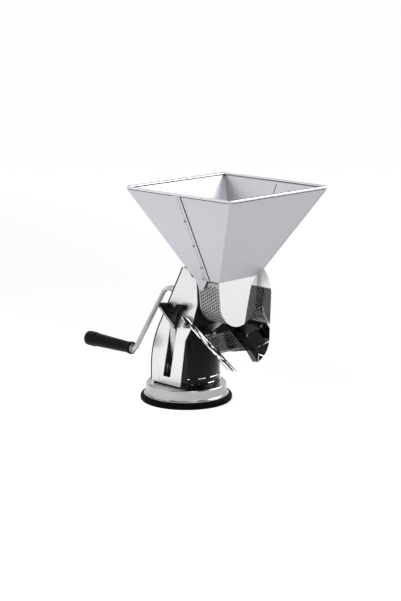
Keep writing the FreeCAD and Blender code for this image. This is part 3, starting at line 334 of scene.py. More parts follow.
def noise(mat, scale, detail, stretch=(1, 1, 1)):
    """A noise texture in object space; stretch multiplies the scale along each axis."""
    tree = mat.node_tree
    place = tree.nodes.new("ShaderNodeTexCoord")
    mapping = tree.nodes.new("ShaderNodeMapping")
    mapping.inputs["Scale"].default_value = stretch
    texture = tree.nodes.new("ShaderNodeTexNoise")
    texture.inputs["Scale"].default_value = scale
    texture.inputs["Detail"].default_value = detail
    tree.links.new(place.outputs["Object"], mapping.inputs["Vector"])
    tree.links.new(mapping.outputs["Vector"], texture.inputs["Vector"])
    return texture


def position(tree, coordinates="Object"):
    """The X, Y and Z sockets of a place, in metres, or of a direction in the sky."""
    place = tree.nodes.new("ShaderNodeTexCoord")
    split = tree.nodes.new("ShaderNodeSeparateXYZ")
    tree.links.new(place.outputs[coordinates], split.inputs["Vector"])
    return split.outputs


def map_range(tree, source, start, end, low=0.0, high=1.0):
    """Takes a socket's values from start..end to low..high, and gives the node."""
    node = tree.nodes.new("ShaderNodeMapRange")
    for label, value in (("From Min", start), ("From Max", end), ("To Min", low), ("To Max", high)):
        node.inputs[label].default_value = value
    tree.links.new(source, node.inputs["Value"])
    return node


def vary_roughness(mat, texture, low, high):
    """Spreads the roughness between two values by a texture."""
    spread = map_range(mat.node_tree, texture.outputs["Fac"], 0.0, 1.0, low, high)
    mat.node_tree.links.new(spread.outputs["Result"], shader_of(mat).inputs["Roughness"])


def vary_color(mat, texture, dark, light, low=0.3, high=0.7):
    """Turns a texture's values from low to high into colours from dark to light."""
    tree = mat.node_tree
    ramp = tree.nodes.new("ShaderNodeValToRGB")
    for element, place, color in zip(ramp.color_ramp.elements, (low, high), (dark, light)):
        element.position = place
        element.color = (*color, 1)
    tree.links.new(texture.outputs["Fac"], ramp.inputs["Fac"])
    tree.links.new(ramp.outputs["Color"], shader_of(mat).inputs["Base Color"])


def raise_bump(mat, *layers):
    """Adds bump layers of (texture, strength, distance in millimetres) under the shader."""
    tree = mat.node_tree
    before = None
    for texture, strength, distance in layers:
        bump = tree.nodes.new("ShaderNodeBump")
        bump.inputs["Strength"].default_value = strength
        bump.inputs["Distance"].default_value = distance * MM
        tree.links.new(texture.outputs["Fac"], bump.inputs["Height"])
        if before:
            tree.links.new(before.outputs["Normal"], bump.inputs["Normal"])
        before = bump
    tree.links.new(before.outputs["Normal"], shader_of(mat).inputs["Normal"])


# ---------------------------------------------------------------- materials

def polish(mat, roughness, wave):
    """Faint handling marks in the gloss and the slow wave of pressed steel; gives the wave's texture."""
    vary_roughness(mat, noise(mat, 90, 6), roughness * 0.6, roughness * 1.6)
    slow = noise(mat, 18, 1)
    raise_bump(mat, (slow, 0.35, wave), (noise(mat, 900, 2), 0.05, 0.02))
    return slow


def polished_metal(name, color, roughness, wave, metallic=1.0):
    """Polished sheet that darkens a little along its wave."""
    mat = material(name, color, metallic, roughness)
    slow = polish(mat, roughness, wave)
    vary_color(mat, slow, shade(color, 0.95), color)
    return mat


def brushed_metal(name, color, roughness, stretch, depth=0.03, fade=0.86):
    """Steel with fine lines along the axes that have a small stretch, or grain where all are equal."""
    mat = material(name, color, 1.0, roughness)
    lines = noise(mat, 60, 5, stretch)
    vary_roughness(mat, lines, roughness * 0.7, roughness * 1.35)
    vary_color(mat, lines, shade(color, fade), color)
    raise_bump(mat, (lines, 0.4, depth))
    return mat


def painted_reflection_streaks_metal(name):
    """Mirror sheet with painted reflections: broken dark streaks along the chute, in place of a studio's
    reflections.
    """
    mat = material(name, grey(0.88), 1.0, 0.06)
    lines = noise(mat, 1.0, 3.0, (1 / 300, 1 / 55, 1 / 400))
    lines.inputs["Distortion"].default_value = 0.8
    mapping = lines.inputs["Vector"].links[0].from_node
    mapping.vector_type = "TEXTURE"
    mapping.inputs["Rotation"].default_value = (CHUTE_ANGLE, 0, 0)
    # painted reflection: near-black and bright streaks in the colour
    vary_color(mat, lines, grey(0.01), grey(0.90), 0.48, 0.55)
    raise_bump(mat, (lines, 0.4, 0.2))
    return mat


def guard_painted_reflection_metal(name):
    """Mirror sheet that turns to bright satin above the height where the guard looks folded: a painted
    bright reflection on its top band.
    """
    mat = polished_metal(name, grey(0.86), 0.04, 0.6)
    start, end = (height * MM for height in GUARD_PAINTED_REFLECTION_Z)
    # painted reflection: above this band the guard loses its metal and shows as bright white satin
    fold = map_range(mat.node_tree, position(mat.node_tree)["Z"], start, end, 1.0, 0.0)
    mat.node_tree.links.new(fold.outputs["Result"], shader_of(mat).inputs["Metallic"])
    return mat


def painted_highlight_gloss(name):
    """Painted highlights: bright metal broken by black, standing for the highlights round the foot of the
    front cover.
    """
    bright, roughness = grey(0.85), 0.10
    mat = material(name, bright, 1.0, roughness)
    polish(mat, roughness, 1.0)
    # painted highlight: bright patches broken by near-black in the colour
    vary_color(mat, noise(mat, 70, 1), grey(0.01), bright, 0.50, 0.54)
    return mat


def moulded(name, color, roughness, grain_scale, grain_depth, specular):
    """Moulded black plastic or rubber with a fine grain and a little unevenness."""
    mat = material(name, color, 0.0, roughness, specular)
    grain = noise(mat, grain_scale, 3)
    vary_roughness(mat, noise(mat, 60, 4), roughness * 0.8, roughness * 1.25)
    vary_color(mat, noise(mat, 40, 3), shade(color, 0.75), shade(color, 1.25))
    raise_bump(mat, (grain, 0.3, grain_depth))
    return mat


# name, colour, roughness, depth of the wave, metallic
CHROME = polished_metal("polished_sheet", (0.80, 0.80, 0.81), 0.04, 0.6)
PANEL = polished_metal("panel_sheet", (0.69, 0.69, 0.70), 0.22, 0.4, 0.5)
# painted dark reflection: near-black mirror for the right chute wall's inner face and the guard's rivets
PAINTED_DARK_REFLECTION = polished_metal("painted_dark_reflection_sheet", grey(0.06), 0.12, 0.5)
PAINTED_REFLECTION_STREAKS = painted_reflection_streaks_metal("painted_reflection_streak_sheet")
GUARD = guard_painted_reflection_metal("guard_painted_reflection_sheet")
PAINTED_HIGHLIGHT_BEAD = painted_highlight_gloss("bead_painted_highlight")

# name, colour, roughness, stretch of the lines, their depth and the colour's fade in them
FINE_GRAIN = (12, 12, 12)
GRAIN = (3, 3, 3)
COARSE_GRAIN = (2, 2, 2)
HOPPER = brushed_metal("hopper_sheet", (0.465, 0.465, 0.497), 0.36, FINE_GRAIN, 0.006, 0.97)
RIM = brushed_metal("rim_steel", (0.60, 0.60, 0.62), 0.28, FINE_GRAIN, 0.006, 0.97)
ROD = brushed_metal("rod_steel", (0.47, 0.46, 0.44), 0.30, GRAIN, 0.02, 0.95)
SATIN = brushed_metal("satin_steel", grey(0.50), 0.30, GRAIN)
RING = brushed_metal("ring_steel", (0.45, 0.45, 0.46), 0.24, (0.4, 0.4, 60), 0.03, 0.72)
SCREEN = brushed_metal("screen_steel", grey(0.33), 0.26, COARSE_GRAIN)
DULL = brushed_metal("rivet_steel", (0.22, 0.22, 0.23), 0.40, GRAIN)
BRONZE = brushed_metal("bush_bronze", (0.16, 0.13, 0.09), 0.35, COARSE_GRAIN)
BRASS = brushed_metal("bush_brass", (0.72, 0.56, 0.28), 0.30, COARSE_GRAIN)

# name, colour, roughness, grain's scale and depth, specular level
GLOSS = moulded("black_gloss", grey(0.002), 0.07, 600, 0.01, 0.12)
WING = moulded("handle_plastic", grey(0.002), 0.12, 600, 0.01, 0.05)
MATTE = moulded("black_moulding", grey(0.003), 0.42, 1500, 0.04, 0.1)
GRIP = moulded("grip_plastic", (0.003, 0.003, 0.004), 0.36, 1200, 0.03, 0.06)
RUBBER = moulded("foot_rubber", grey(0.002), 0.50, 2000, 0.05, 0.02)
SHADOW = moulded("seam_shadow", (0.004, 0.004, 0.005), 0.60, 2000, 0.02, 0.05)
# painted highlight: light grey for the handle's rim step
PAINTED_HIGHLIGHT_EDGE = moulded("handle_painted_highlight_edge", (0.42, 0.42, 0.43), 0.30, 600, 0.01, 0.5)


# ---------------------------------------------------------------- foot and base

def build_foot():
    """Rubber ring: drawn in at the table, upright, with a rounded shoulder."""
    outline = fillet([
        (FOOT_BORE, 0), (FOOT_RADIUS - 1.7, 0), (FOOT_RADIUS, 2.2), (FOOT_RADIUS, FOOT_HEIGHT - 2.3),
        (FOOT_RADIUS - 1.5, FOOT_HEIGHT), (FOOT_BORE, FOOT_HEIGHT),
    ], [0.3, 0.8, 1.2, 1.0, 0.8, 0.2])
    piece(lathe("foot_rubber_ring", outline, 160), "base", RUBBER, "black_rubber", "foot_ring")


def build_ring():
    """Steel cup: a flat lip on the rubber, an upright wall and a rim that turns in."""
    rim = RING_TOP - 1.0
    outline = fillet([
        (RING_BORE, RING_BOTTOM), (RING_LIP_RADIUS, RING_BOTTOM), (RING_LIP_RADIUS, RING_BOTTOM + 1.6),
        (RING_RADIUS + 0.8, RING_BOTTOM + 2.0), (RING_RADIUS, RING_BOTTOM + 3.2),
        (RING_RADIUS, RING_TOP - 1.4), (RING_RADIUS - 1.0, RING_TOP), (RING_BORE - 1.0, RING_TOP),
        (RING_BORE - 1.7, rim), (RING_RIM_BORE, rim), (RING_RIM_BORE, rim - 1.0), (RING_BORE, rim - 1.0),
    ], [0.1, 0.5, 0.6, 0.5, 0.8, 0.9, 0.6, 0.6, 0.3, 0.2, 0.1, 0.1])
    piece(lathe("base_steel_ring", outline, 160), "base", RING, "polished_steel", "base_ring")


# ---------------------------------------------------------------- crank and grip

def crank_point(along, y):
    """A point at a distance down the crank's arm."""
    return (-along * math.sin(CRANK_ANGLE), y, AXIS_Z - along * math.cos(CRANK_ANGLE))


def build_crank():
    """Bent rod: out of the shaft, down the arm and into the grip."""
    path = [crank_point(0, CRANK_START_Y)]
    path += arc(crank_point(ELBOW_RADIUS, CRANK_Y - ELBOW_RADIUS), crank_point(0, CRANK_Y - ELBOW_RADIUS),
                crank_point(ELBOW_RADIUS, CRANK_Y), 14)
    path += arc(crank_point(CRANK_THROW - KNUCKLE_RADIUS, CRANK_Y + KNUCKLE_RADIUS),
                crank_point(CRANK_THROW - KNUCKLE_RADIUS, CRANK_Y),
                crank_point(CRANK_THROW, CRANK_Y + KNUCKLE_RADIUS), 12)
    path.append(crank_point(CRANK_THROW, GRIP_Y + GRIP_LENGTH - ROD_STOP))
    piece(tube("crank_rod", path, ROD_RADIUS, 32), "rotor", ROD, "satin_steel", "crank_arm")


def build_grip():
    """Grip with a collar at each end, thicker towards its cap, and the domed cap in its socket."""
    end = GRIP_LENGTH
    socket = end - CAP_SOCKET_DEPTH
    cap_foot = end - 3.0
    place = along_y(*crank_point(CRANK_THROW, GRIP_Y))
    outline = fillet([
        (GRIP_BORE, 0.0), (8.4, 0.0), (9.3, 0.9), (9.3, 4.6), (8.3, 5.4), (8.6, 20.0), (9.3, 50.0),
        (10.1, end - 18.0), (10.9, end - 16.0), (11.0, end - 3.0), (10.6, end),
        (CAP_SOCKET_RADIUS, end), (CAP_SOCKET_RADIUS, socket), (GRIP_BORE, socket),
    ], [0.2, 0.6, 0.6, 0.6, 0.5, 6, 20, 1.0, 1.0, 2.0, 0.8, 0.3, 0.3, 0.2])
    piece(lathe("grip_sleeve", outline, 64, place=place), "grip_body", GRIP, "black_moulding", "grip")
    plug_radius = CAP_SOCKET_RADIUS - 0.05
    cap = [(0.0, cap_foot), (plug_radius, cap_foot), (plug_radius, end)]
    cap += fillet([(10.6, end), (8.5, end + 1.4), (4.5, end + 2.6), (0.0, end + 3.0)],
                  [0.2, 3, 4, 0], 4, closed=False)
    piece(lathe("grip_end_cap", cap, 64, closed=False, place=place), "grip_body", GRIP,
          "black_moulding", "grip_cap")


# ---------------------------------------------------------------- screen

def screen_point(s):
    """A point of the screen's U and its height, from the distance s along it, 0 at the bottom."""
    quarter = SCREEN_RADIUS * math.pi / 2
    side = 1 if s >= 0 else -1
    s = abs(s)
    if s <= quarter:
        a = s / SCREEN_RADIUS
        return side * SCREEN_RADIUS * math.sin(a), AXIS_Z - SCREEN_RADIUS * math.cos(a)
    rise = s - quarter
    slope = (SCREEN_TOP_HALF - SCREEN_RADIUS) / SCREEN_RISE
    return side * (SCREEN_RADIUS + rise * slope), AXIS_Z + rise


def build_screen():
    """Bent sheet with staggered rows of round holes, plain at its ends and its top edges."""
    end_gap, plain_top = 0.2, 6.0
    half_run = SCREEN_RADIUS * math.pi / 2 + SCREEN_RISE
    length = TROUGH_LENGTH - 2 * end_gap
    # the pitches are stretched a little, so that whole cells fill the sheet
    columns = int(2 * half_run / HOLE_PITCH_ROUND)
    rows = int(length / HOLE_PITCH_Y)
    pitch_s = 2 * half_run / columns
    pitch_y = length / rows
    cell = [(-1, -1), (0, -1), (1, -1), (1, 0), (1, 1), (0, 1), (-1, 1), (-1, 0)]
    hole = [math.radians(225 + 45 * k) for k in range(8)]
    verts, faces = [], []

    def add(s, y):
        x, z = screen_point(max(-half_run, min(half_run, s)))
        verts.append((x, y, z))
        return len(verts) - 1

    for row in range(rows):
        y_mid = HOOD_FACE - end_gap - pitch_y * (row + 0.5)
        shift = pitch_s / 2 if row % 2 else 0.0
        for column in range(-1 if shift else 0, columns):
            s_mid = -half_run + pitch_s * (column + 0.5) + shift
            outer = [add(s_mid + u * pitch_s / 2, y_mid + v * pitch_y / 2) for u, v in cell]
            if row in (0, rows - 1) or abs(s_mid) > half_run - plain_top:
                faces.append(outer)
                continue
            inner = [add(s_mid + HOLE_RADIUS * math.cos(a), y_mid + HOLE_RADIUS * math.sin(a))
                     for a in hole]
            for k in range(len(cell)):
                j = (k + 1) % len(cell)
                faces.append([outer[k], outer[j], inner[j], inner[k]])
    sheet = mesh_object("screen_sheet", verts, faces, 60)
    thick = sheet.modifiers.new("sheet", "SOLIDIFY")
    thick.thickness = SCREEN_SHEET * MM
    thick.offset = 0
    piece(sheet, "base", SCREEN, "satin_steel", "perforated_screen")


# ---------------------------------------------------------------- lever

def slot_y(height):
    """Middle of the leaning slot in the left panel."""
    return SLOT_FOOT_Y - (height - SLOT_FOOT_Z) * math.tan(SLOT_LEAN)


def wing_outline(inset):
    """Side view of the butterfly handle as (y, z), drawn in from its edge by an inset."""
    middle = slot_y(HANDLE_TOP_Z) + 1.5
    tip = slot_y(HANDLE_TIP_Z) - 8.0
    half_tip, tip_z = 1.4, HANDLE_TIP_Z + 0.1
    lean = math.tan(math.radians(4))
    rear_wing = [(7.5, 0.0), (25.4, -0.4), (26.0, -7.4), (18.0, -16.0)]
    front_wing = [(-15.0, -12.5), (-26.0, -7.4), (-25.4, -0.4), (-9.0, 0.0)]
    notch = [(-0.5, -14.0)]
    points = [(middle + u, HANDLE_TOP_Z + v - lean * u) for u, v in rear_wing]
    points += [(tip + half_tip, tip_z), (tip - half_tip, tip_z)]
    points += [(middle + u, HANDLE_TOP_Z + v - lean * u) for u, v in front_wing + notch]
    rounded = fillet(points, [1.4, 1.4, 1.6, 7, 0.9, 0.9, 6, 4.0, 4.0, 2.2, 1.0])
    out = []
    for i, (y, z) in enumerate(rounded):
        along = (Vector(rounded[(i + 1) % len(rounded)]) - Vector(rounded[i - 1])).normalized()
        out.append((y + along.y * inset, z - along.x * inset))
    return out


def build_handle():
    """Black butterfly handle: two dished wings that sink towards the panel at the tip."""
    thinning_top, thinning_run, thinning = 138.0, 24.0, 0.72
    rim_inset, rim_x = 2.6, HANDLE_FACE_X
    layers = [(0.8, HANDLE_BACK_X + 0.8), (0.0, HANDLE_BACK_X), (0.0, HANDLE_FACE_X + 1.8),
              (1.6, rim_x), (rim_inset, rim_x), (rim_inset + 1.2, rim_x + 1.0)]
    sections = []
    for inset, x in layers:
        proud = max(0.0, HANDLE_BACK_X - x)
        section = []
        for y, z in wing_outline(inset):
            sink = min(1.0, max(0.0, (thinning_top - z) / thinning_run))
            section.append((x + proud * sink * thinning, y, z))
        sections.append(section)
    handle = loft("butterfly_handle", sections, 50)
    piece(handle, "lever", WING, "black_gloss", "lever_handle")
    count = len(sections[0])
    rim_step = range((len(layers) - 2) * count, (len(layers) - 1) * count)

    def painted_highlight_faces(face):
        """The faces of the rim's inner step that look forward and a little up, which get a painted
        highlight.
        """
        return face.index in rim_step and face.normal.y < -0.15 and face.normal.z > 0.02

    # painted highlight: light grey on the rim step's faces that look forward and up
    paint_faces(handle, PAINTED_HIGHLIGHT_EDGE, painted_highlight_faces)


def build_lever_channel():
    """Folded steel channel of the lever, as it shows through the slot."""
    half, sheet, depth, bend, steps = 5.6, 1.0, 5.0, 0.6, 10
    section = [(half, depth), (half, bend), (half - bend, 0.0), (bend - half, 0.0), (-half, bend),
               (-half, depth), (sheet - half, depth), (sheet - half, sheet), (half - sheet, sheet),
               (half - sheet, depth)]
    sections = []
    for k in range(steps + 1):
        z = CHANNEL_BOTTOM_Z + (CHANNEL_TOP_Z - CHANNEL_BOTTOM_Z) * k / steps
        front = CHANNEL_X - (z - CHANNEL_X_AT_Z) * math.tan(CHANNEL_LEAN)
        sections.append([(front + back, slot_y(z) + across, z) for across, back in section])
    piece(loft("lever_channel", sections, 40), "lever", SATIN, "satin_steel")


# ---------------------------------------------------------------- chute tray

def wall_place(side, y, up, out):
    """A point of a leaning side wall: along the tray, up the wall and out through its sheet."""
    x = WALL_X + up * math.sin(WALL_LEAN) + out * math.cos(WALL_LEAN)
    return (side * x, y, LIP_Z + up * math.cos(WALL_LEAN) - out * math.sin(WALL_LEAN))


def floor_up(y):
    """How far up the wall the tray's floor meets it."""
    return (y - LIP_Y) * WALL_CLIMB


def build_wall(side, label, over, mat):
    """One side wall, over the lip at its front, with its hooked ear cut level above the hook."""
    ear_front_y, ear_back_y, heel_y = -42.7, -31.2, -31.7
    ear_foot, ear_top = 50.3, 66.8
    rise = WALL_HEIGHT / math.cos(CHUTE_ANGLE)
    notch = [(HOOK_Y - HOOK_RADIUS * math.sin(a), HOOK_UP - HOOK_RADIUS * math.cos(a))
             for a in (math.pi * k / 8 for k in range(9))]
    outline = [(over, 0.0), (LIP_Y, 0.0), (ear_front_y, floor_up(ear_front_y)), (ear_front_y, ear_foot),
               (heel_y, ear_foot), (heel_y, HOOK_UP - HOOK_RADIUS)]
    outline += notch
    outline += [(ear_back_y, HOOK_UP + HOOK_RADIUS), (ear_back_y, ear_top), (ear_front_y - 0.6, ear_top),
                (over, floor_up(over) + rise)]
    count = len(outline)
    inner, outer = 0.02, 0.98
    verts = [wall_place(side, y, up, out) for out in (inner, outer) for y, up in outline]
    faces = [list(range(count)), [count + i for i in range(count)]]
    faces += [[i, (i + 1) % count, count + (i + 1) % count, count + i] for i in range(count)]
    wall = mesh_object(f"chute_wall_{label}", verts, faces)
    soften(wall, 0.3, 3, 40)
    piece(wall, "chute", mat, "polished_steel", "chute_tray")
    return wall


def floor_height(y):
    """Under side of the bent floor: steeper near the lip, flatter behind the bend."""
    flat = LIP_Z + (y - LIP_Y) * CHUTE_RISE
    if y < FLOOR_BEND_Y:
        return flat + FLOOR_BEND * (y - LIP_Y) / (FLOOR_BEND_Y - LIP_Y)
    return flat + FLOOR_BEND * (CHUTE_BACK_Y - y) / (CHUTE_BACK_Y - FLOOR_BEND_Y)


def build_chute_floor():
    """Bent floor sheet between the walls, a grid above and below joined round its rim."""
    rows, columns = 45, 8
    half_lip, thick = 30.4, 1.1
    verts, faces = [], []
    for layer in (0, 1):
        for r in range(rows + 1):
            y = LIP_Y + (CHUTE_BACK_Y - LIP_Y) * r / rows
            half = half_lip + (y - LIP_Y) * CHUTE_RISE * math.tan(WALL_LEAN)
            for c in range(columns + 1):
                verts.append((-half + 2 * half * c / columns, y, floor_height(y) + thick * layer))
    wide = columns + 1
    above = (rows + 1) * wide
    for r in range(rows):
        for c in range(columns):
            i = r * wide + c
            faces.append([i, i + 1, i + wide + 1, i + wide])
            faces.append([above + i, above + i + wide, above + i + wide + 1, above + i + 1])
    rim = list(range(wide))
    rim += [r * wide + columns for r in range(1, rows + 1)]
    rim += [rows * wide + c for c in range(columns - 1, -1, -1)]
    rim += [r * wide for r in range(rows - 1, 0, -1)]
    for k, i in enumerate(rim):
        j = rim[(k + 1) % len(rim)]
        faces.append([i, above + i, above + j, j])
    floor = mesh_object("chute_floor_sheet", verts, faces, 20)
    piece(floor, "chute", CHROME, "polished_steel", "chute_tray")


def build_chute():
    """The tray: left wall with painted reflection streaks, right wall with a painted dark reflection
    inside, dark lines of painted shade on their edges, and the floor.
    """
    # left wall: its colour carries painted reflection streaks
    build_wall(-1, "left", -130.0, PAINTED_REFLECTION_STREAKS)
    right = build_wall(1, "right", -115.0, CHROME)
    # painted dark reflection on the right wall's inner face
    paint_faces(right, PAINTED_DARK_REFLECTION, lambda face: face.normal.x < -0.5)
    middle_y, back_y = -80.0, -44.0
    top_up, foot_up = 13.3, 0.3
    for (side, label), front_y in zip(SIDES, (-128.0, -114.5)):
        top = [wall_place(side, y, top_up + floor_up(y), 0.6) for y in (front_y, middle_y, back_y)]
        foot = [wall_place(side, y, foot_up + floor_up(y), 1.0) for y in (LIP_Y + 0.5, middle_y, back_y)]
        # painted shade: dark lines along the top and the foot of each wall
        dark_line(f"chute_top_edge_{label}", top, 0.5, "chute")
        dark_line(f"chute_foot_edge_{label}", foot, 0.4, "chute")
    build_chute_floor()


# ---------------------------------------------------------------- seams and edges

def hopper_x(height, out):
    """Half width of the hopper's outside at a height above its foot."""
    return HOPPER_FOOT_HALF_X + (HOPPER_RIM_HALF - HOPPER_FOOT_HALF_X) * height / HOPPER_HEIGHT + out


def hopper_y(height, out):
    """Half depth of the hopper's outside at a height above its foot."""
    return HOPPER_FOOT_HALF_Y + (HOPPER_RIM_HALF - HOPPER_FOOT_HALF_Y) * height / HOPPER_HEIGHT + out


def side_line(side, y, out, heights):
    """A line up a side face of the hopper, out from its sheet."""
    return [(side * hopper_x(h, out), y, HOPPER_FOOT_Z + h) for h in heights]


def build_hopper_seams():
    """Lap of the two hopper sheets on both side faces: painted shadow in its gap, its step and a dark line
    of painted shade inside.
    """
    for side, label in SIDES:
        dark_line(f"seam_painted_shadow_{label}", side_line(side, SEAM_Y, 0.15, (1.0, 60.0, 125.5)), 0.42, "hopper")
        step = side_line(side, SEAM_STEP_Y, 1.25, (2.0, 60.0, 124.5))
        piece(tube(f"seam_step_{label}", step, 0.28, 10), "hopper", SATIN, "satin_steel")
        dark_line(f"seam_line_{label}", side_line(side, SEAM_Y, -1.3, (20.0, 70.0, 124.0)), 0.40, "hopper")


def build_corner_lines():
    """Fold lines of the hopper: outside at its front corners and inside at its rear ones."""
    for end, place, inset in ((-1, "front", 0.0), (1, "rear", 1.5)):
        for side, label in SIDES:
            path = [(side * hopper_x(h, -inset), HOPPER_Y + end * hopper_y(h, -inset), HOPPER_FOOT_Z + h)
                    for h in (2.0, 60.0, 124.0)]
            piece(tube(f"fold_{label}_{place}", path, 0.45, 10), "hopper", SATIN, "satin_steel")


def build_rim_painted_shadow():
    """Painted shadow: a dark line where the rim wire sits on the sheet."""
    half, corner, height = 100.3, 4.5, 321.0
    near = half - corner
    loop = [(-near, -half), (near, -half), (half, -near), (half, near), (near, half), (-near, half),
            (-half, near), (-half, -near), (-near, -half)]
    dark_line("rim_painted_shadow", [(x, y + HOPPER_Y, height) for x, y in loop], 0.45, "hopper", 8)


def panel_back(height):
    """The rear edge of the side panels: upright, a long bend, then leaning forward."""
    bend_top = PANEL_BEND_Z + PANEL_BEND_RADIUS * math.sin(PANEL_LEAN)
    if height <= PANEL_BEND_Z:
        return PANEL_BACK_Y
    if height <= bend_top:
        rise = height - PANEL_BEND_Z
        return PANEL_BACK_Y - (PANEL_BEND_RADIUS - math.sqrt(PANEL_BEND_RADIUS ** 2 - rise ** 2))
    bend_y = PANEL_BACK_Y - PANEL_BEND_RADIUS * (1 - math.cos(PANEL_LEAN))
    return bend_y - (height - bend_top) * math.tan(PANEL_LEAN)


def build_panel_edges():
    """Painted shadow: a thin dark line in the seam where each side panel meets the back cover."""
    bottom, top, steps = 29.0, 206.0, 40
    inset, behind = 0.35, 0.4
    for side, label in SIDES:
        path = []
        for k in range(steps + 1):
            z = bottom + (top - bottom) * k / steps
            path.append((side * (HALF_WIDTH - inset), panel_back(z) + behind, z))
        dark_line(f"panel_seam_{label}", path, 1.1, "base")


def build_cover_beads():
    """Two thin beads round the foot of the front cover, with painted highlights."""
    half_angle, steps = 43.0, 48
    for height, label in ((33.5, "foot"), (41.5, "waist")):
        path = []
        for k in range(steps + 1):
            a = math.radians(-half_angle + 2 * half_angle * k / steps)
            path.append((COVER_BEAD_RADIUS * math.sin(a), -COVER_BEAD_RADIUS * math.cos(a), height))
        piece(tube(f"cover_{label}_bead", path, 0.9, 16), "base", PAINTED_HIGHLIGHT_BEAD, "black_gloss")


# ---------------------------------------------------------------- CAD nodes that stay in view

# material, width of the edges' bevel, nodes
FINISHES = [
    (PANEL, 0.35, ("left_panel", "right_panel")),
    (PANEL, 0.2, ("back_cover",)),
    (CHROME, 0.25, ("front_plate",)),
    # splash guard: mirror with a painted bright reflection on its top band
    (GUARD, 0.25, ("splash_guard",)),
    (GLOSS, 0.5, ("front_cover",)),
    (MATTE, 0.5, ("tower_hood",)),
    (MATTE, 0.3, ("tower_frame",)),
    (PANEL, 0.3, ("base_deck",)),
    (RUBBER, 0.4, ("suction_diaphragm",)),
    (HOPPER, 0.2, ("hopper_front", "hopper_rear", "hopper_collar")),
    (RIM, 0.0, ("rim_wire",)),
    (SATIN, 0.0, ("panel_screws",)),
    (DULL, 0.0, ("seam_rivets",)),
    # painted dark reflection on the guard's rivets
    (PAINTED_DARK_REFLECTION, 0.0, ("guard_rivets",)),
    (MATTE, 0.2, ("rotor_hub", "paddle_1", "paddle_2", "paddle_3", "screen_flange")),
    (SATIN, 0.2, ("rotor_shaft", "lever_bracket", "lever_arm", "lift_yoke", "hook_pins", "lever_cams")),
    (SATIN, 0.15, ("lever_pin", "pull_stud", "stud_nut", "bracket_screws", "grip_nut", "grip_washer",
                   "lock_screw")),
    (RUBBER, 0.3, ("wiper_1", "wiper_2", "wiper_3")),
    (BRONZE, 0.2, ("front_bush", "hood_bush")),
    (BRASS, 0.2, ("rear_bush",)),
]


def dress_nodes():
    """Every carried-over CAD node in the table gets its material, and softened edges where its bevel is
    not zero.
    """
    for mat, bevel, nodes in FINISHES:
        for node in nodes:
            dress(node, mat, bevel)


# ---------------------------------------------------------------- floor, light, camera

def glowing_paper(name, color, strength):
    """Dull paper with a white glow."""
    mat = material(name, color, 0.0, 0.9, 0.0)
    shader_of(mat).inputs["Emission Color"].default_value = (1, 1, 1, 1)
    shader_of(mat).inputs["Emission Strength"].default_value = strength
    return mat


def build_stage():
    """White paper floor: its glow changes across it behind the object and is even in front."""
    half, depth = 40000, -0.1
    floor = mesh_object("studio_floor", [
        (-half, -half, depth), (half, -half, depth), (half, half, depth), (-half, half, depth),
    ], [[0, 1, 2, 3]])
    even_glow = 0.57
    mat = glowing_paper("floor_paper", grey(0.45), even_glow)
    tree = mat.node_tree
    place = position(tree)
    spread = map_range(tree, place["X"], -1.0, 1.5)
    glow = tree.nodes.new("ShaderNodeValToRGB")
    stops = [(0.0, 0.62), (0.25, 0.74), (0.32, 0.98), (0.48, 0.55), (0.62, 0.55), (0.88, 0.62)]
    while len(glow.color_ramp.elements) < len(stops):
        glow.color_ramp.elements.new(0.5)
    for element, (along, level) in zip(glow.color_ramp.elements, stops):
        element.position = along
        element.color = (*grey(level), 1)
    tree.links.new(spread.outputs["Result"], glow.inputs["Fac"])
    behind = map_range(tree, place["Y"], -0.20, 0.02)
    blend = tree.nodes.new("ShaderNodeMix")
    blend.inputs["A"].default_value = even_glow
    tree.links.new(behind.outputs["Result"], blend.inputs["Factor"])
    tree.links.new(glow.outputs["Color"], blend.inputs["B"])
    tree.links.new(blend.outputs["Result"], shader_of(mat).inputs["Emission Strength"])
    paint(floor, mat)


def area_light(name, place, aim, size, watts):
    """A square lamp at a place, turned to its aim."""
    data = bpy.data.lights.new(name, "AREA")
    data.energy = watts
    data.size = size
    lamp = bpy.data.objects.new(name, data)
    lamp.location = place
    lamp.rotation_mode = "QUATERNION"
    lamp.rotation_quaternion = (Vector(aim) - Vector(place)).to_track_quat("-Z", "Y")
    bpy.context.scene.collection.objects.link(lamp)
    return lamp


def reflect_card(name, place, aim, width, height, color, strength):
    """A card that only the polished parts see; colour is its paint and strength its glow."""
    here, there = Vector(place), Vector(aim)
    away = (here - there).normalized()
    side = Vector((0, 0, 1)).cross(away).normalized()
    up = away.cross(side)
    corners = [here + side * width * u / 2 + up * height * v / 2
               for u, v in ((-1, -1), (1, -1), (1, 1), (-1, 1))]
    card = mesh_object(name, [tuple(c / MM for c in corner) for corner in corners], [[0, 1, 2, 3]])
    paint(card, glowing_paper(name, color, strength))
    card.visible_camera = False
    card.visible_diffuse = False
    card.visible_shadow = False


def build_sky():
    """White tent round the object, darker straight overhead."""
    world = bpy.data.worlds.new("studio")
    world.use_nodes = True
    tree = world.node_tree
    back = tree.nodes["Background"]
    back.inputs["Color"].default_value = (1, 1, 1, 1)
    fall = map_range(tree, position(tree, "Generated")["Z"], 0.76, 0.92, 1.0, 0.35)
    fall.interpolation_type = "SMOOTHSTEP"
    tree.links.new(fall.outputs["Result"], back.inputs["Strength"])
    bpy.context.scene.world = world


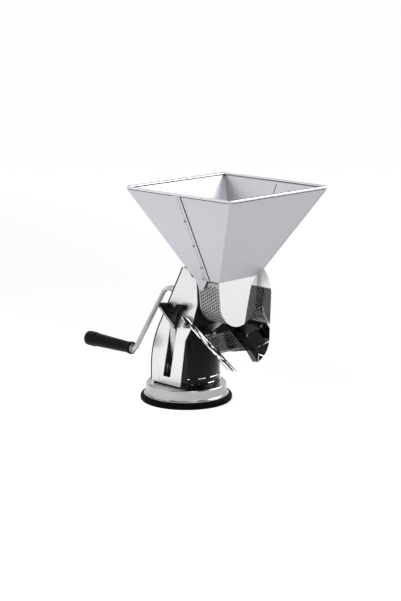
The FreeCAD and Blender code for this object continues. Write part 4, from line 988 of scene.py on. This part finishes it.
def build_light():
    """Three soft lamps, a small one over the chute's lip, and the cards for the polished parts."""
    build_sky()
    body, chute, mouth = (0.0, -0.04, 0.15), (0.0, -0.08, 0.1), (0.0, -0.08, 0.28)
    lip_x, lip_y = -0.035, -0.155
    area_light("key_left", (-1.5, 0.1, 1.1), body, 0.9, 6)
    area_light("top_front", (0.1, -0.9, 1.9), body, 0.9, 6)
    area_light("fill_right", (1.5, -0.7, 0.9), body, 0.7, 3)
    lip = area_light("lip_light", (lip_x, lip_y, 0.190), (lip_x, lip_y, 0.0), 0.13, 0.08)
    lip.visible_camera = False
    black, white = grey(0.01), grey(0.8)
    reflect_card("dark_card", (-1.09, 0.06, 1.08), chute, 0.5, 0.6, black, 0.0)
    reflect_card("room_card", (-2.33, -2.19, 0.16), (0, 0, 0.16), 1.6, 0.62, black, 0.12)
    reflect_card("side_card", (0.72, 0.10, 0.82), chute, 0.9, 0.5, black, 0.0)
    reflect_card("back_face_card", (1.30, -0.99, 1.15), mouth, 1.3, 1.0, white, 4.6)
    reflect_card("right_face_card", (-1.10, 1.15, 0.98), mouth, 0.9, 0.9, white, 0.6)


def build_camera():
    """The photograph's camera, fitted to the object's edges in it."""
    azimuth, elevation = math.radians(-45.65), math.radians(12.08)
    distance, aim = 2.4927, Vector((0.03003, 0.0, 0.14317))
    data = bpy.data.cameras.new("photo_camera")
    data.sensor_width = 36.0
    data.lens = 101.15
    data.clip_start, data.clip_end = 0.05, 50.0
    camera = bpy.data.objects.new("photo_camera", data)
    back = Vector((math.sin(azimuth) * math.cos(elevation), -math.cos(azimuth) * math.cos(elevation),
                   math.sin(elevation)))
    camera.location = aim + back * distance
    camera.rotation_mode = "QUATERNION"
    camera.rotation_quaternion = (-back).to_track_quat("-Z", "Y")
    bpy.context.scene.collection.objects.link(camera)
    bpy.context.scene.camera = camera


bpy.context.scene.view_settings.view_transform = "Standard"
build_camera()
build_stage()
build_light()
dress_nodes()
build_foot()
build_ring()
build_crank()
build_grip()
build_screen()
build_handle()
build_lever_channel()
build_chute()
build_hopper_seams()
build_corner_lines()
build_rim_painted_shadow()
build_panel_edges()
build_cover_beads()
